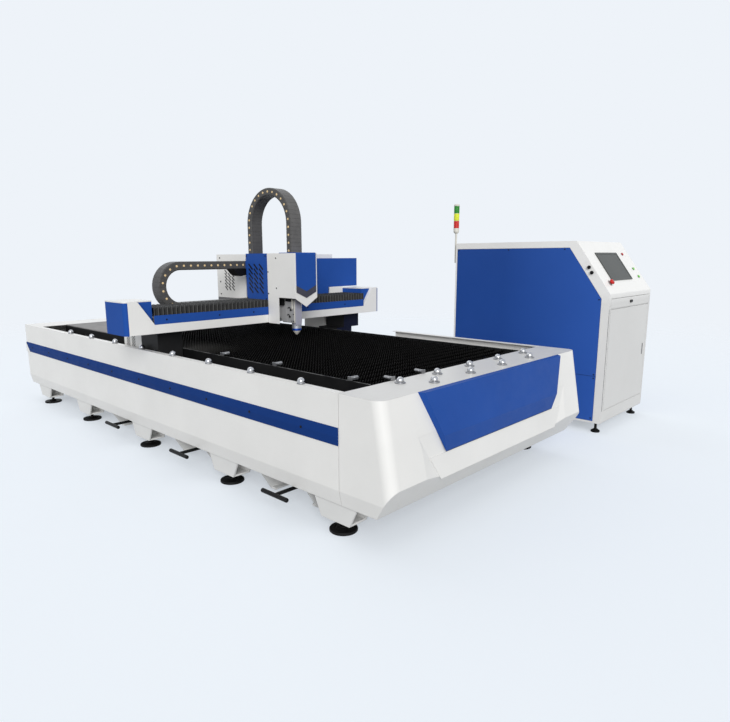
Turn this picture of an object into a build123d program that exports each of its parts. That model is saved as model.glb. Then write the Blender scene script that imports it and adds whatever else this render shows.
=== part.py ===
"""Open-bed fiber laser cutting machine with a moving gantry and a separate control cabinet.

Millimetres. X runs across the bed, Y along it with the operator's end at -Y, and Z up.
The origin is on the floor, under the middle of the whole installation.
"""
import os
from math import atan2, ceil, cos, hypot, pi, sin, tan

from build123d import *

# Overall layout across the floor
BED_WIDTH = 2135.0
HANDLE_REACH = 97.0
AISLE = 635.0
CAB_WIDTH = 946.0

# Flat sides of each round bar, pad and knob
ROUND_SIDES = 12

# Bed covers
BED_TOP = 785.0
COVER_BOTTOM = 180.0
CREASE_Z = 267.0
CREASE_INSET = 20.0
SHEET = 4.0
TOP_FLANGE = 44.0
BOTTOM_FLANGE = 8.0
SEAM_TO_REAR = 4590.0
SEAM_GAP = 3.0
FRONT_TOP_DEPTH = 275.0
FRONT_LEAN = 78.0
NOSE_Z = 347.0
CHIN_BACK = 112.0
CORNER_RADIUS = 60.0
REAR_TOP_DEPTH = 350.0
RIGHT_CAP_LENGTH = 1410.0
RIGHT_STEP = 70.0
STRIPE_LOW = 510.0
STRIPE_HIGH = 605.0
STRIPE_THICKNESS = 4.0
STRIPE_FOLD = 5.0

# Badge plate on the leaning front, and the wedge-shaped recess below it
BADGE_TOP_WIDTH = 1560.0
BADGE_BOTTOM_WIDTH = 1212.0
BADGE_BOTTOM_Z = 445.0
BADGE_FACE_WIDTH = 1522.0
BADGE_FOLD_WIDTH = 1296.0
BADGE_FOLD_Z = 537.0
BADGE_FACE_DROP = 8.0
BADGE_THICKNESS = 30.0
RECESS_TOP_Z = 566.0
RECESS_LOW_Z = 308.0
RECESS_TOP_WIDTH = 1644.0
RECESS_LOW_WIDTH = 1600.0
RECESS_FLOOR_WIDTH = 1308.0
RECESS_DEPTH = 20.0
RECESS_START = 0.5
PANEL_THICKNESS = 3.0
PANEL_GAP = 3.0

# Bed frame, troughs and cutting table
GIRDER_INSET = 30.0
GIRDER_TOP = 600.0
GIRDER_BOTTOM = 190.0
GIRDER_WALL = 12.0
TROUGH_WIDTH = 227.0
WALL = 6.0
WALL_BOTTOM = 300.0
WALL_TOP = 780.0
LEDGE = 20.0
CROSS_HEIGHT = 80.0
CROSS_WIDTH = 60.0
CROSS_TOP = 620.0
TABLE_START = 30.0
TABLE_LENGTH = 3080.0
SLAT_PITCH = 77.0
SLAT_THICKNESS = 4.0
SLAT_BOTTOM = 680.0
SLAT_TIP = 780.0
TOOTH_DEPTH = 26.0
TOOTH_PITCH = 110.0
SLAT_END_GAP = 2.0
COMB_THICKNESS = 8.0
COMB_TOP = 712.0
COMB_OFFSETS = (-130.0, 420.0)
NOTCH_GAP = 0.5
DECK_THICKNESS = 6.0
DECK_GAP = 10.0

# Feet under the bed
FOOT_INSET = 94.0
FOOT_FROM_SEAM = (64.0, 1101.0, 2214.0, 3317.0, 4278.0)
PAD_RADIUS = 78.0
PAD_HEIGHT = 16.0
STUD_RADIUS = 12.0
NUT_RADIUS = 24.0
NUT_HEIGHT = 16.0
BRACKET_BOTTOM = 70.0
BRACKET_LOW_HALF = 107.0
BRACKET_TOP_HALF = 165.0
BRACKET_WIDTH = 130.0
BRACKET_PLATE = 12.0

# Ball transfers and sheet stops on the bed's rim
BALL_RADIUS = 21.0
BALL_RISE = 6.0
SIDE_CUP_RADIUS = 22.0
FRONT_CUP_RADIUS = 30.0
CUP_HEIGHT = 8.0
BALL_STEPS = ((0.95, -0.286), (0.92, 0.35), (0.55, 0.83), (0.2, 1.0))
SIDE_BALLS = 8
SIDE_BALL_START = 306.0
SIDE_BALL_PITCH = 448.0
SIDE_BALL_INSET = 22.0
FRONT_ROW_BACK = (72.0, 195.0)
FRONT_ROW_PITCH = (336.0, 355.0)
FRONT_ROW_COUNT = (5, 4)
STOP_RADIUS = 11.0
STOP_LENGTH = 58.0
STOP_BLOCK = 34.0
SIDE_STOPS = (185.0, 850.0, 1430.0)
FRONT_STOPS = (140.0, 412.0)

# Scrap drawers under the bed
DRAWER_FROM_SEAM = (430.0, 1460.0, 2480.0)
DRAWER_WIDTH = 400.0
DRAWER_OFFSET = 95.0
DRAWER_BOTTOM = 52.0
DRAWER_TOP = 162.0
DRAWER_WALL = 4.0
DRAWER_START = 305.0
DRAWER_LENGTH = 1550.0
RUNNER = 12.0
RUNNER_FOOT = 34.0
RUNNER_PLAY = 0.4
SIDE_PLAY = 3.0
HANDLE_Z = 148.0
BAR_RADIUS = 13.0
BAR_LENGTH = 224.0
STEM_RADIUS = 11.0

# Guides and drives along the bed
RAIL_WIDTH = 34.0
RAIL_HEIGHT = 30.0
RACK_WIDTH = 24.0
RACK_HEIGHT = 80.0
PINION_RADIUS = 32.0
PINION_HEIGHT = 36.0
PINION_BORE = 12.0
RUN_PLAY = 0.5
BASE_PLAY = 2.0
PINION_MARK = 21.0
PINION_MARK_RADIUS = 5.0

# Gantry
GANTRY_FROM_SEAM = 1820.0
GANTRY_LENGTH = 2578.0
END_LENGTH = 216.0
END_SLOPE = 120.0
END_DEPTH = 286.0
END_FACE = 30.0
END_ROUND = 28.0
END_TOP = 1158.0
END_SLOPE_Z = 990.0
LINER_DROP = 8.0
END_RETURN = 175.0
END_RETURN_RISE = 1166.0
BEAM_BOTTOM = 925.0
BEAM_TOP = 1046.0
BEAM_DEPTH = 274.0
BEAM_WALL = 12.0
FASCIA = 6.0
FASCIA_WHITE = 63.0
FASCIA_TOP = 1052.0
X_RAIL_WIDTH = 28.0
X_RAIL_HEIGHT = 22.0
X_RAIL_INSET = 60.0
BELLOWS_TOP = 1110.0
BELLOWS_PITCH = 34.0
BELLOWS_DEPTH = 14.0
BELLOWS_SKIN = 18.0
SADDLE_FRONT = 100.0
SADDLE_LENGTH = 250.0
SADDLE_PLAY = 15.0
RIGHT_LEG_SHIFT = 95.0
LEG_PLAY = 6.0
BLOCK_LENGTH = 80.0
BLOCK_TOP = 650.0
DRIVE_PLATE_Z = 712.0
DRIVE_PLATE = 20.0
MOTOR_LENGTH = 288.0
MOTOR_WIDTH = 128.0
MOTOR_TOP = 915.0
MOTOR_LOUVRES = (7, 2)
MOTOR_FIELD = (0.3, 0.9, 0.12, 0.9)

# Boxes behind the beam
REAR_BOX_INSET = 13.0
REAR_BOX_LENGTH = 1047.0
REAR_BOX_FRONT = 412.0
REAR_BOX_DEPTH = 438.0
REAR_BOX_LOW = 1094.0
REAR_BOX_HIGH = 1477.0
REAR_COVER_REACH = 219.0
REAR_COVER_LENGTH = 522.0
REAR_COVER_FRONT = 299.0
REAR_COVER_HIGH = 1439.0
REAR_LOUVRES = (6, 3)
REAR_FIELD = (0.38, 0.74, 0.18, 0.64)
ARM = 40.0

# Carriage and cutting head
CARRIAGE_OFFSET = 42.5
CARRIAGE_WIDTH = 232.0
HEAD_FRONT = 343.0
HEAD_BACK = 4.0
HEAD_TOP = 1481.0
HEAD_SKIN = 5.0
HEAD_LEG_DEPTH = 136.0
HEAD_LEG_LOW = 921.0
HEAD_CUT_Z = 1133.0
HEAD_TIP_Z = 1063.0
HEAD_BADGE_INSET = 14.0
HEAD_BADGE_TIP = 1186.0
HEAD_BADGE_SIDE = 1232.0
CHEVRON_DROP = 52.0
TRIM = 5.0
TRIM_ROUND = 9.0
VENT_BACK = 282.0
VENT_LOW = 1098.0
VENT_SKIN = 5.0
VENT_LOUVRES = (6, 3)
VENT_FIELD = (0.15, 0.87, 0.17, 0.77)
LOUVRE_LENGTH = 0.8
LOUVRE_OPENING = 0.26
LOUVRE_SLANT = 35.0
CARRIAGE_PLATE = 18.0
CARRIAGE_GAP = 8.0
SADDLE_PLATE = 12.0
Z_RAIL = 20.0
Z_RAIL_OFFSET = 70.0
Z_RAIL_LOW = 950.0
Z_RAIL_HIGH = 1440.0
Z_PLATE = 20.0
Z_PLATE_HALF = 92.0
Z_PLATE_LOW = 965.0
Z_PLATE_HIGH = 1350.0
Z_GAP = 26.0
CHEEK = 12.0
CHEEK_REACH = 72.0
CHEEK_LOW = 938.0
CHEEK_HIGH = 1120.0
SCREW_RADIUS = 8.0
SCREW_HEAD = 24.0
COLLAR_RADIUS = 13.0
NOZZLE_REACH = 217.0
NOZZLE_TIP = 833.0
NOZZLE_TOP = 866.0
RING_TOP = 884.0
RING_RADIUS = 37.0
HEAD_RADIUS = 44.0
HEAD_BODY_TOP = 1250.0

# Energy chains
CHAIN_WIDTH = 110.0
CHAIN_DEPTH = 65.0
CHAIN_TOP = 1421.0
CHAIN_OUTER = 190.0
CHAIN_LINK = 61.0
CHAIN_GAP = 0.8
CHAIN_FRONT = 292.0
CHAIN_BEND_OFFSET = 680.0
CHAIN_TRAY = 12.0
CHAIN_CLAMP = 70.0
Z_CHAIN_WIDTH = 115.0
Z_CHAIN_DEPTH = 58.0
Z_CHAIN_NEAR = 277.0
Z_CHAIN_APEX = 1993.0
Z_CHAIN_INSET = 26.0
Z_CHAIN_FOOT = 14.0
Z_CHAIN_PLAY = 6.0

# Control cabinet
CAB_FROM_SEAM = -255.0
CAB_DEPTH = 1462.0
CAB_LOW = 85.0
CAB_TOP = 1570.0
CAB_WALL = 22.0
CONSOLE_LOW = 1151.0
CONSOLE_BACK = 298.0
CAB_ROUND = 14.0
SIDE_PANEL_BORDERS = (15.0, 15.0, 53.0, 76.0, 66.0)
SIDE_PANEL_DEPTH = 5.0
SIDE_PANEL_GAP = 2.0
BOLT_RADIUS = 14.0
BOLT_HEIGHT = 16.0
BOLTS = ((180.0, 1360.0), (155.0, 1318.0))
DOOR_LOW = 193.0
DOOR_HIGH = 1028.0
DOOR_BORDER = 34.0
DOOR_THICKNESS = 24.0
DOOR_GAP = 3.0
DOOR_FLANGE = 16.0
DOOR_SKIN = 3.0
HINGE_INSET = 6.0
HINGE_RADIUS = 4.0
HINGE_BITE = 3.5
HINGE_PLAY = 0.05
WASHER_RADIUS = 7.0
PULL_Z = 620.0
PULL_HEIGHT = 110.0
PULL_WIDTH = 36.0
PULL_INSET = 34.0
PULL_DEPTH = 10.0
TRAY_LOW = 1036.0
TRAY_HIGH = 1110.0
TRAY_DEPTH = 380.0
TRAY_SKIN = 3.0
TRAY_FRONT = 24.0
LOCK_RADIUS = 11.0
LOCK_LENGTH = 30.0
LOCK_RISE = 7.0
SCREEN_LEFT = 195.0
SCREEN_WIDTH = 460.0
SCREEN_LOW = 118.0
SCREEN_HIGH = 394.0
SCREEN_RISE = 8.0
BEZEL = 16.0
BUTTON_GAP = 0.4
BUTTON_HOLE = 30.0
ESTOP_PLACE = (130.0, 100.0)
RED_PLACE = (788.0, 380.0)
GREEN_PLACES = ((833.0, 222.0), (845.0, 140.0))
ESTOP_RADIUS = 22.0
ESTOP_RISE = 32.0
BUTTON_RADIUS = 13.0
BUTTON_RISE = 10.0
BUTTON_STEM = 8.0
CAB_FOOT_INSET = 60.0
CAB_PAD_RADIUS = 36.0
CAB_PAD_HEIGHT = 14.0
CAB_STUD_RADIUS = 11.0
TOWER_OFFSET = 25.0
TOWER_INSET = 30.0
POLE_RADIUS = 9.0
TOWER_BASE_Z = 1660.0
LAMP_RADIUS = 26.0
LAMP_HEIGHT = 68.0
LAMP_COUNT = 3
TOWER_CLAMP = 60.0

# Places that follow from the sizes above
GANTRY_REACH = (GANTRY_LENGTH - BED_WIDTH) / 2
LEFT_REACH = max(HANDLE_REACH, GANTRY_REACH)
BED_LEFT = LEFT_REACH - (LEFT_REACH + BED_WIDTH + AISLE + CAB_WIDTH) / 2
BED_RIGHT = BED_LEFT + BED_WIDTH
BED_X = (BED_LEFT + BED_RIGHT) / 2
CAB_LEFT = BED_RIGHT + AISLE
CAB_RIGHT = CAB_LEFT + CAB_WIDTH

LEAN = atan2(FRONT_LEAN, BED_TOP - NOSE_Z)


def drop(z):
    """Distance down the leaning front from its top edge to a height."""
    return (BED_TOP - z) / cos(LEAN)


FOLD_REACH = FRONT_TOP_DEPTH + drop(BADGE_FOLD_Z) * sin(LEAN) + BADGE_THICKNESS * cos(LEAN)
FRONT_REACH = max(FRONT_TOP_DEPTH + FRONT_LEAN, FOLD_REACH)
SEAM = (FRONT_REACH - SEAM_TO_REAR) / 2
REAR = SEAM + SEAM_TO_REAR
FRONT_EDGE = SEAM - FRONT_TOP_DEPTH
NOSE = FRONT_EDGE - FRONT_LEAN

TROUGH_LEFT = BED_LEFT + TOP_FLANGE
WALL_LEFT = TROUGH_LEFT + TROUGH_WIDTH
TABLE_LEFT = WALL_LEFT + WALL
TABLE_RIGHT = 2 * BED_X - TABLE_LEFT
TABLE_FRONT = SEAM + TABLE_START
TABLE_REAR = TABLE_FRONT + TABLE_LENGTH
DECK_FRONT = TABLE_REAR + DECK_GAP
DECK_REAR = REAR - REAR_TOP_DEPTH
SLAT_COUNT = int(TABLE_LENGTH // SLAT_PITCH)
RAIL_X = TROUGH_LEFT + TROUGH_WIDTH / 2
RACK_LEFT = WALL_LEFT - RACK_WIDTH
FOOT_X = BED_LEFT + FOOT_INSET

BEAM_Y = SEAM + GANTRY_FROM_SEAM
GANTRY_LEFT = BED_X - GANTRY_LENGTH / 2
GANTRY_RIGHT = BED_X + GANTRY_LENGTH / 2
BEAM_LEFT = GANTRY_LEFT + END_LENGTH
BEAM_RIGHT = GANTRY_RIGHT - END_LENGTH
BEAM_FRONT = BEAM_Y + FASCIA
BEAM_BACK = BEAM_FRONT + BEAM_DEPTH
PINION_X = RACK_LEFT - RUN_PLAY - PINION_RADIUS
MOTOR_FRONT = BEAM_Y + SADDLE_FRONT + SADDLE_LENGTH
PINION_Y = MOTOR_FRONT + MOTOR_LENGTH / 2

CARRIAGE_X = BED_X + CARRIAGE_OFFSET
CARRIAGE_LEFT = CARRIAGE_X - CARRIAGE_WIDTH / 2
CARRIAGE_RIGHT = CARRIAGE_X + CARRIAGE_WIDTH / 2
PLATE_BACK = BEAM_Y - CARRIAGE_GAP
PLATE_FRONT = PLATE_BACK - CARRIAGE_PLATE
Z_PLATE_BACK = PLATE_FRONT - Z_RAIL - Z_GAP
Z_PLATE_FRONT = Z_PLATE_BACK - Z_PLATE
SCREW_Y = PLATE_FRONT - Z_RAIL - Z_GAP / 2
NOZZLE_Y = BEAM_Y - NOZZLE_REACH
SADDLE_TOP = VENT_LOW
BLOCK_BASE = BEAM_TOP + X_RAIL_HEIGHT

REAR_BOX_RIGHT = BEAM_RIGHT - REAR_BOX_INSET
REAR_BOX_LEFT = REAR_BOX_RIGHT - REAR_BOX_LENGTH
REAR_COVER_RIGHT = BEAM_RIGHT + REAR_COVER_REACH

CHAIN_X = BED_X - CHAIN_BEND_OFFSET
CHAIN_MID_Z = CHAIN_TOP - CHAIN_OUTER
CHAIN_LOW = CHAIN_TOP - 2 * CHAIN_OUTER
CHAIN_Y = BEAM_Y + CHAIN_FRONT
Z_CHAIN_LEFT = CARRIAGE_LEFT + Z_CHAIN_INSET
Z_CHAIN_FRONT = BEAM_Y - Z_CHAIN_NEAR
Z_CHAIN_BACK = BEAM_Y + VENT_BACK
Z_CHAIN_OUTER = (Z_CHAIN_BACK - Z_CHAIN_FRONT) / 2
Z_CHAIN_Y = (Z_CHAIN_BACK + Z_CHAIN_FRONT) / 2
Z_CHAIN_MID_Z = Z_CHAIN_APEX - Z_CHAIN_OUTER

CAB_FRONT = SEAM + CAB_FROM_SEAM
CAB_BACK = CAB_FRONT + CAB_DEPTH
CONSOLE_ANGLE = atan2(CAB_TOP - CONSOLE_LOW, CONSOLE_BACK)


def block(x0, x1, y0, y1, z0, z1):
    """A box between two corners."""
    return Pos((x0 + x1) / 2, (y0 + y1) / 2, (z0 + z1) / 2) * Box(x1 - x0, y1 - y0, z1 - z0)


def prism_x(points, x0, x1):
    """An outline of (y, z) points, drawn out along X."""
    outline = Polyline(*[(x0, y, z) for y, z in points], close=True)
    return extrude(make_face(outline), amount=x1 - x0, dir=(1, 0, 0))


def prism_y(points, y0, y1):
    """An outline of (x, z) points, drawn out along Y."""
    outline = Polyline(*[(x, y0, z) for x, z in points], close=True)
    return extrude(make_face(outline), amount=y1 - y0, dir=(0, 1, 0))


def prism_z(points, z0, z1):
    """An outline of (x, y) points, drawn up along Z."""
    outline = Polyline(*[(x, y, z0) for x, y in points], close=True)
    return extrude(make_face(outline), amount=z1 - z0, dir=(0, 0, 1))


def faceted(radius, z0, z1):
    """A round bar with few flat sides, standing on the axis."""
    return extrude(Pos(0, 0, z0) * RegularPolygon(radius, ROUND_SIDES), amount=z1 - z0)


def rod_x(x0, x1, y, z, radius):
    return Pos(0, y, z) * Rot(0, 90, 0) * faceted(radius, x0, x1)


def rod_y(x, y0, y1, z, radius):
    return Pos(x, 0, z) * Rot(-90, 0, 0) * faceted(radius, y0, y1)


def rod_z(x, y, z0, z1, radius):
    return Pos(x, y, 0) * faceted(radius, z0, z1)


def pin_z(x, y, z0, z1, radius):
    """A true cylinder, for the fits that turn."""
    return Pos(x, y, (z0 + z1) / 2) * Cylinder(radius, z1 - z0)


def ring_points(radius, z):
    """Corners of a few-sided round section on the axis."""
    turns = [2 * pi * i / ROUND_SIDES for i in range(ROUND_SIDES)]
    return [(radius * cos(turn), radius * sin(turn), z) for turn in turns]


def frustum(r0, z0, r1, z1):
    """A few-sided round section that widens or narrows evenly up the axis, with flat sides."""
    low, high = ring_points(r0, z0), ring_points(r1, z1)
    outlines = [low, high]
    for i in range(ROUND_SIDES):
        j = (i + 1) % ROUND_SIDES
        outlines.append([low[i], low[j], high[j], high[i]])
    return Solid(Shell([Face(Wire.make_polygon(points)) for points in outlines]))


def stacked(steps):
    """Few-sided round sections joined up the axis, from (radius, z) pairs, lowest first."""
    parts = [
        faceted(r0, z0, z1) if r0 == r1 else frustum(r0, z0, r1, z1)
        for (r0, z0), (r1, z1) in zip(steps, steps[1:])
        if z1 > z0
    ]
    return parts[0].fuse(*parts[1:]) if len(parts) > 1 else parts[0]


def bent(points, thickness):
    """The outline of a sheet bent along points, with its thickness to the left of the run."""
    count = len(points)
    inner = []
    for i, (a, b) in enumerate(points):
        before = points[max(i - 1, 0)]
        after = points[min(i + 1, count - 1)]
        first = (a - before[0], b - before[1]) if i > 0 else (after[0] - a, after[1] - b)
        second = (after[0] - a, after[1] - b) if i < count - 1 else first
        n1 = (-first[1] / hypot(*first), first[0] / hypot(*first))
        n2 = (-second[1] / hypot(*second), second[0] / hypot(*second))
        scale = thickness / (1 + n1[0] * n2[0] + n1[1] * n2[1])
        inner.append((a + (n1[0] + n2[0]) * scale, b + (n1[1] + n2[1]) * scale))
    return list(points) + inner[::-1]


def mirrored(shape):
    """The same piece on the other long side of the bed."""
    return mirror(shape, about=Plane.YZ.offset(BED_X))


def both_sides(shape):
    return [shape, mirrored(shape)]


def side_profile(top):
    """Outer run of a long side cover, from the inner edge of its top to its bottom flange."""
    return [
        (BED_LEFT + TOP_FLANGE, top),
        (BED_LEFT, top),
        (BED_LEFT, CREASE_Z),
        (BED_LEFT + CREASE_INSET, COVER_BOTTOM),
        (BED_LEFT + CREASE_INSET + BOTTOM_FLANGE, COVER_BOTTOM),
    ]


def side_cover_left():
    return prism_y(bent(side_profile(BED_TOP), SHEET), SEAM + SEAM_GAP, REAR)


def side_cover_right():
    """The far cover stands full height at the front and steps down behind that."""
    step = SEAM + RIGHT_CAP_LENGTH
    front = prism_y(bent(side_profile(BED_TOP), SHEET), SEAM + SEAM_GAP, step)
    rear = prism_y(bent(side_profile(BED_TOP - RIGHT_STEP), SHEET), step, REAR)
    return mirrored(front + rear)


def side_stripes():
    """A shallow V-folded band along each long side."""
    middle = (STRIPE_LOW + STRIPE_HIGH) / 2
    points = [
        (BED_LEFT, STRIPE_LOW),
        (BED_LEFT, STRIPE_HIGH),
        (BED_LEFT - STRIPE_THICKNESS, STRIPE_HIGH),
        (BED_LEFT - STRIPE_THICKNESS - STRIPE_FOLD, middle),
        (BED_LEFT - STRIPE_THICKNESS, STRIPE_LOW),
    ]
    return both_sides(prism_y(points, SEAM + SEAM_GAP, REAR))


def front_block(inset):
    """The front's full form, pulled in by a sheet's thickness for its inside."""
    slant = inset / cos(LEAN)
    back = SEAM + (SHEET if inset else 0)
    low = COVER_BOTTOM - inset
    high = BED_TOP - inset
    points = [
        (back, low),
        (FRONT_EDGE + slant - (BED_TOP - low) * tan(LEAN), low),
        (FRONT_EDGE + slant - inset * tan(LEAN), high),
        (back, high),
    ]
    form = prism_x(points, BED_LEFT + inset, BED_RIGHT - inset)
    form = fillet([e for e in form.edges() if is_front_corner(e)], CORNER_RADIUS - inset)
    crease = under_crease(inset)
    return form - [under_chin(inset), crease, mirrored(crease)]


def is_front_corner(edge):
    """True for the two upright corners of the front."""
    ends = edge @ 0, edge @ 1
    upright = abs(ends[0].Z - ends[1].Z) > CORNER_RADIUS
    return upright and max(ends[0].Y, ends[1].Y) < SEAM - SHEET


def under_line(start, end, inset, rise):
    """A triangle outside a line that falls inwards from start to end, moved in by an inset."""
    run = (end[0] - start[0]) / (start[1] - end[1])
    shift = inset * hypot(1, run)
    low = end[1] - rise
    high = start[1] + rise
    near = start[0] + shift + run * (start[1] - low)
    far = start[0] + shift - run * rise
    return [(near, low), (far, high), (far, low)]


def under_chin(inset):
    """What the slanted chin takes off the front's lower edge."""
    points = under_line((NOSE, NOSE_Z), (NOSE + CHIN_BACK, COVER_BOTTOM), inset, CORNER_RADIUS)
    return prism_x(points, BED_LEFT - SHEET, BED_RIGHT + SHEET)


def under_crease(inset):
    """What the crease along the lower edge takes off the front's left side."""
    points = under_line((BED_LEFT, CREASE_Z), (BED_LEFT + CREASE_INSET, COVER_BOTTOM), inset, CORNER_RADIUS)
    return prism_y(points, NOSE - CORNER_RADIUS, SEAM + SHEET)


def front_cover():
    return (front_block(0) - front_recess(0)) - (front_block(SHEET) - front_recess(SHEET))


def recess_at(along):
    """Half-widths at the face and at the floor, and depth, at a distance down the front."""
    share = (along - drop(RECESS_TOP_Z)) / (drop(RECESS_LOW_Z) - drop(RECESS_TOP_Z))
    top = RECESS_TOP_WIDTH / 2
    mouth = top + (RECESS_LOW_WIDTH / 2 - top) * share
    floor = top + (RECESS_FLOOR_WIDTH / 2 - top) * share
    return mouth, floor, RECESS_START + (RECESS_DEPTH - RECESS_START) * share


def across_front(along, points):
    """A section of (x, outwards) points at a distance down the leaning front."""
    plane = front_plane()
    section = Plane(origin=plane.from_local_coords((0, -along, 0)), x_dir=plane.x_dir, z_dir=-plane.y_dir)
    return section * Polygon(*points, align=None)


def front_recess(grow):
    """The wedge-shaped recess in the front's middle, which deepens towards the chin."""
    sections = []
    for along in (drop(RECESS_TOP_Z), drop(COVER_BOTTOM)):
        mouth, floor, depth = recess_at(along)
        out = mouth + grow + (mouth - floor) * SHEET / depth
        sections.append(
            across_front(
                along,
                [(-out, SHEET), (out, SHEET), (floor + grow, -depth - grow), (-floor - grow, -depth - grow)],
            )
        )
    return loft(sections, ruled=True)


def front_plane():
    """The leaning front face: origin mid-way along its top edge, Y up the face, Z outwards."""
    normal = (0, -cos(LEAN), sin(LEAN))
    return Plane(origin=(BED_X, FRONT_EDGE, BED_TOP), x_dir=(1, 0, 0), z_dir=normal)


def badge_points(top, low, high_drop, low_drop):
    """A trapezium on the leaning front, by its two widths and its two distances down."""
    return [(-low / 2, -low_drop), (low / 2, -low_drop), (top / 2, -high_drop), (-top / 2, -high_drop)]


def front_centre_panel():
    """The plate on the recess's floor, from under the badge to the chin."""
    sections = []
    for along in (drop(BADGE_BOTTOM_Z) + PANEL_GAP, drop(RECESS_LOW_Z) - PANEL_GAP):
        floor, depth = recess_at(along)[1:]
        top = PANEL_THICKNESS - depth
        sections.append(across_front(along, [(-floor, -depth), (floor, -depth), (floor, top), (-floor, top)]))
    return loft(sections, ruled=True)


def front_badge():
    """The badge plate: a flat face with bevelled sides and a broad slope below its fold."""
    base = badge_points(BADGE_TOP_WIDTH, BADGE_BOTTOM_WIDTH, 0, drop(BADGE_BOTTOM_Z))
    face = badge_points(BADGE_FACE_WIDTH, BADGE_FOLD_WIDTH, BADGE_FACE_DROP, drop(BADGE_FOLD_Z))
    outlines = [
        front_plane() * Polygon(*base, align=None),
        front_plane() * Pos(0, 0, BADGE_THICKNESS) * Polygon(*face, align=None),
    ]
    return loft(outlines, ruled=True)


def rear_cover():
    """The rear end: a folded top over the troughs' ends and a back plate between the long sides."""
    gap = SHEET + RUN_PLAY
    inner = BED_LEFT + TOP_FLANGE + RUN_PLAY
    points = [(DECK_REAR, BED_TOP), (REAR, BED_TOP), (REAR, COVER_BOTTOM + gap)]
    top = prism_x(bent(points, -SHEET), inner, 2 * BED_X - inner)
    low = BED_LEFT + CREASE_INSET + gap
    side = BED_LEFT + gap
    right = 2 * BED_X
    back = [
        (low, COVER_BOTTOM + gap),
        (right - low, COVER_BOTTOM + gap),
        (right - side, CREASE_Z),
        (right - side, BED_TOP - RIGHT_STEP - gap),
        (right - inner, BED_TOP - RIGHT_STEP - gap),
        (right - inner, BED_TOP - gap),
        (side, BED_TOP - gap),
        (side, CREASE_Z),
    ]
    return top + prism_y(back, REAR - SHEET, REAR)


def foot_bracket(x, y):
    """Welded bracket: two upright tapered plates, a cross rib and a sole for the foot's stud."""
    half = BRACKET_WIDTH / 2
    low = BRACKET_BOTTOM
    plate = [
        (y - BRACKET_LOW_HALF, low),
        (y + BRACKET_LOW_HALF, low),
        (y + BRACKET_TOP_HALF, GIRDER_BOTTOM),
        (y - BRACKET_TOP_HALF, GIRDER_BOTTOM),
    ]
    pieces = prism_x(plate, x - half, x - half + BRACKET_PLATE)
    pieces += prism_x(plate, x + half - BRACKET_PLATE, x + half)
    pieces += block(x - half, x + half, y - BRACKET_LOW_HALF, y + BRACKET_LOW_HALF, low, low + BRACKET_PLATE)
    rib = BRACKET_PLATE / 2
    return pieces + block(x - half, x + half, y - rib, y + rib, low, GIRDER_BOTTOM)


def runner(y, side):
    """An angle that one edge of a scrap drawer slides on, with a tapered nose at its open end."""
    edge = y + side * (DRAWER_WIDTH / 2 + SIDE_PLAY)
    low = DRAWER_BOTTOM - RUNNER_PLAY - RUNNER
    start = BED_LEFT + GIRDER_INSET + RUNNER_FOOT
    nose = [
        (start, GIRDER_BOTTOM),
        (2 * BED_X - start, GIRDER_BOTTOM),
        (2 * BED_X - start, low),
        (start + RUNNER_FOOT * 2, low),
        (start, HANDLE_Z),
    ]
    outer = edge + side * RUNNER
    web = prism_y(nose, min(edge, outer), max(edge, outer))
    inner = edge - side * RUNNER_FOOT
    foot_start = start + RUNNER_FOOT * 2
    foot = block(
        foot_start, 2 * BED_X - start, min(inner, outer), max(inner, outer), low, low + RUNNER
    )
    return web + foot


def girder():
    """One hollow long girder, which carries a guide rail on top."""
    x0 = BED_LEFT + GIRDER_INSET
    y0 = SEAM + SHEET
    y1 = REAR - SHEET
    tube = block(x0, WALL_LEFT, y0, y1, GIRDER_BOTTOM, GIRDER_TOP)
    hollow = block(
        x0 + GIRDER_WALL,
        WALL_LEFT - GIRDER_WALL,
        y0,
        y1,
        GIRDER_BOTTOM + GIRDER_WALL,
        GIRDER_TOP - GIRDER_WALL,
    )
    return tube - hollow


def bed_frame():
    """The welded base: long girders, cross beams, cover stand-offs, foot brackets and runners."""
    frame = girder() + mirrored(girder())
    right = 2 * BED_X - WALL_LEFT
    feet = [SEAM + y for y in FOOT_FROM_SEAM]
    for y in feet[1:]:
        low = y - CROSS_WIDTH / 2
        frame += block(WALL_LEFT, right, low, low + CROSS_WIDTH, CROSS_TOP - CROSS_HEIGHT, GIRDER_TOP)
        if low < TABLE_REAR:
            frame += block(TABLE_LEFT, TABLE_RIGHT, low, low + CROSS_WIDTH, GIRDER_TOP, CROSS_TOP)
    front = TABLE_FRONT + CROSS_WIDTH
    frame += block(WALL_LEFT, right, TABLE_FRONT, front, CROSS_TOP - CROSS_HEIGHT, GIRDER_TOP)
    frame += block(TABLE_LEFT, TABLE_RIGHT, TABLE_FRONT, front, GIRDER_TOP, CROSS_TOP)
    for y0 in (DECK_FRONT, DECK_REAR - CROSS_WIDTH):
        frame += block(TABLE_LEFT, TABLE_RIGHT, y0, y0 + CROSS_WIDTH, GIRDER_TOP, BED_TOP - DECK_THICKNESS)
        frame += block(WALL_LEFT, right, y0, y0 + CROSS_WIDTH, CROSS_TOP - CROSS_HEIGHT, GIRDER_TOP)
    frame += front_carrier()
    for y in feet:
        stand = block(
            BED_LEFT + SHEET,
            BED_LEFT + GIRDER_INSET,
            y - CROSS_WIDTH / 2,
            y + CROSS_WIDTH / 2,
            CREASE_Z + CROSS_HEIGHT,
            STRIPE_LOW,
        )
        frame += stand + mirrored(stand)
        bracket = foot_bracket(FOOT_X, y)
        frame += bracket + mirrored(bracket)
    for y in DRAWER_FROM_SEAM:
        middle = SEAM + y + DRAWER_OFFSET
        frame += runner(middle, -1) + runner(middle, 1)
    return frame


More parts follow.
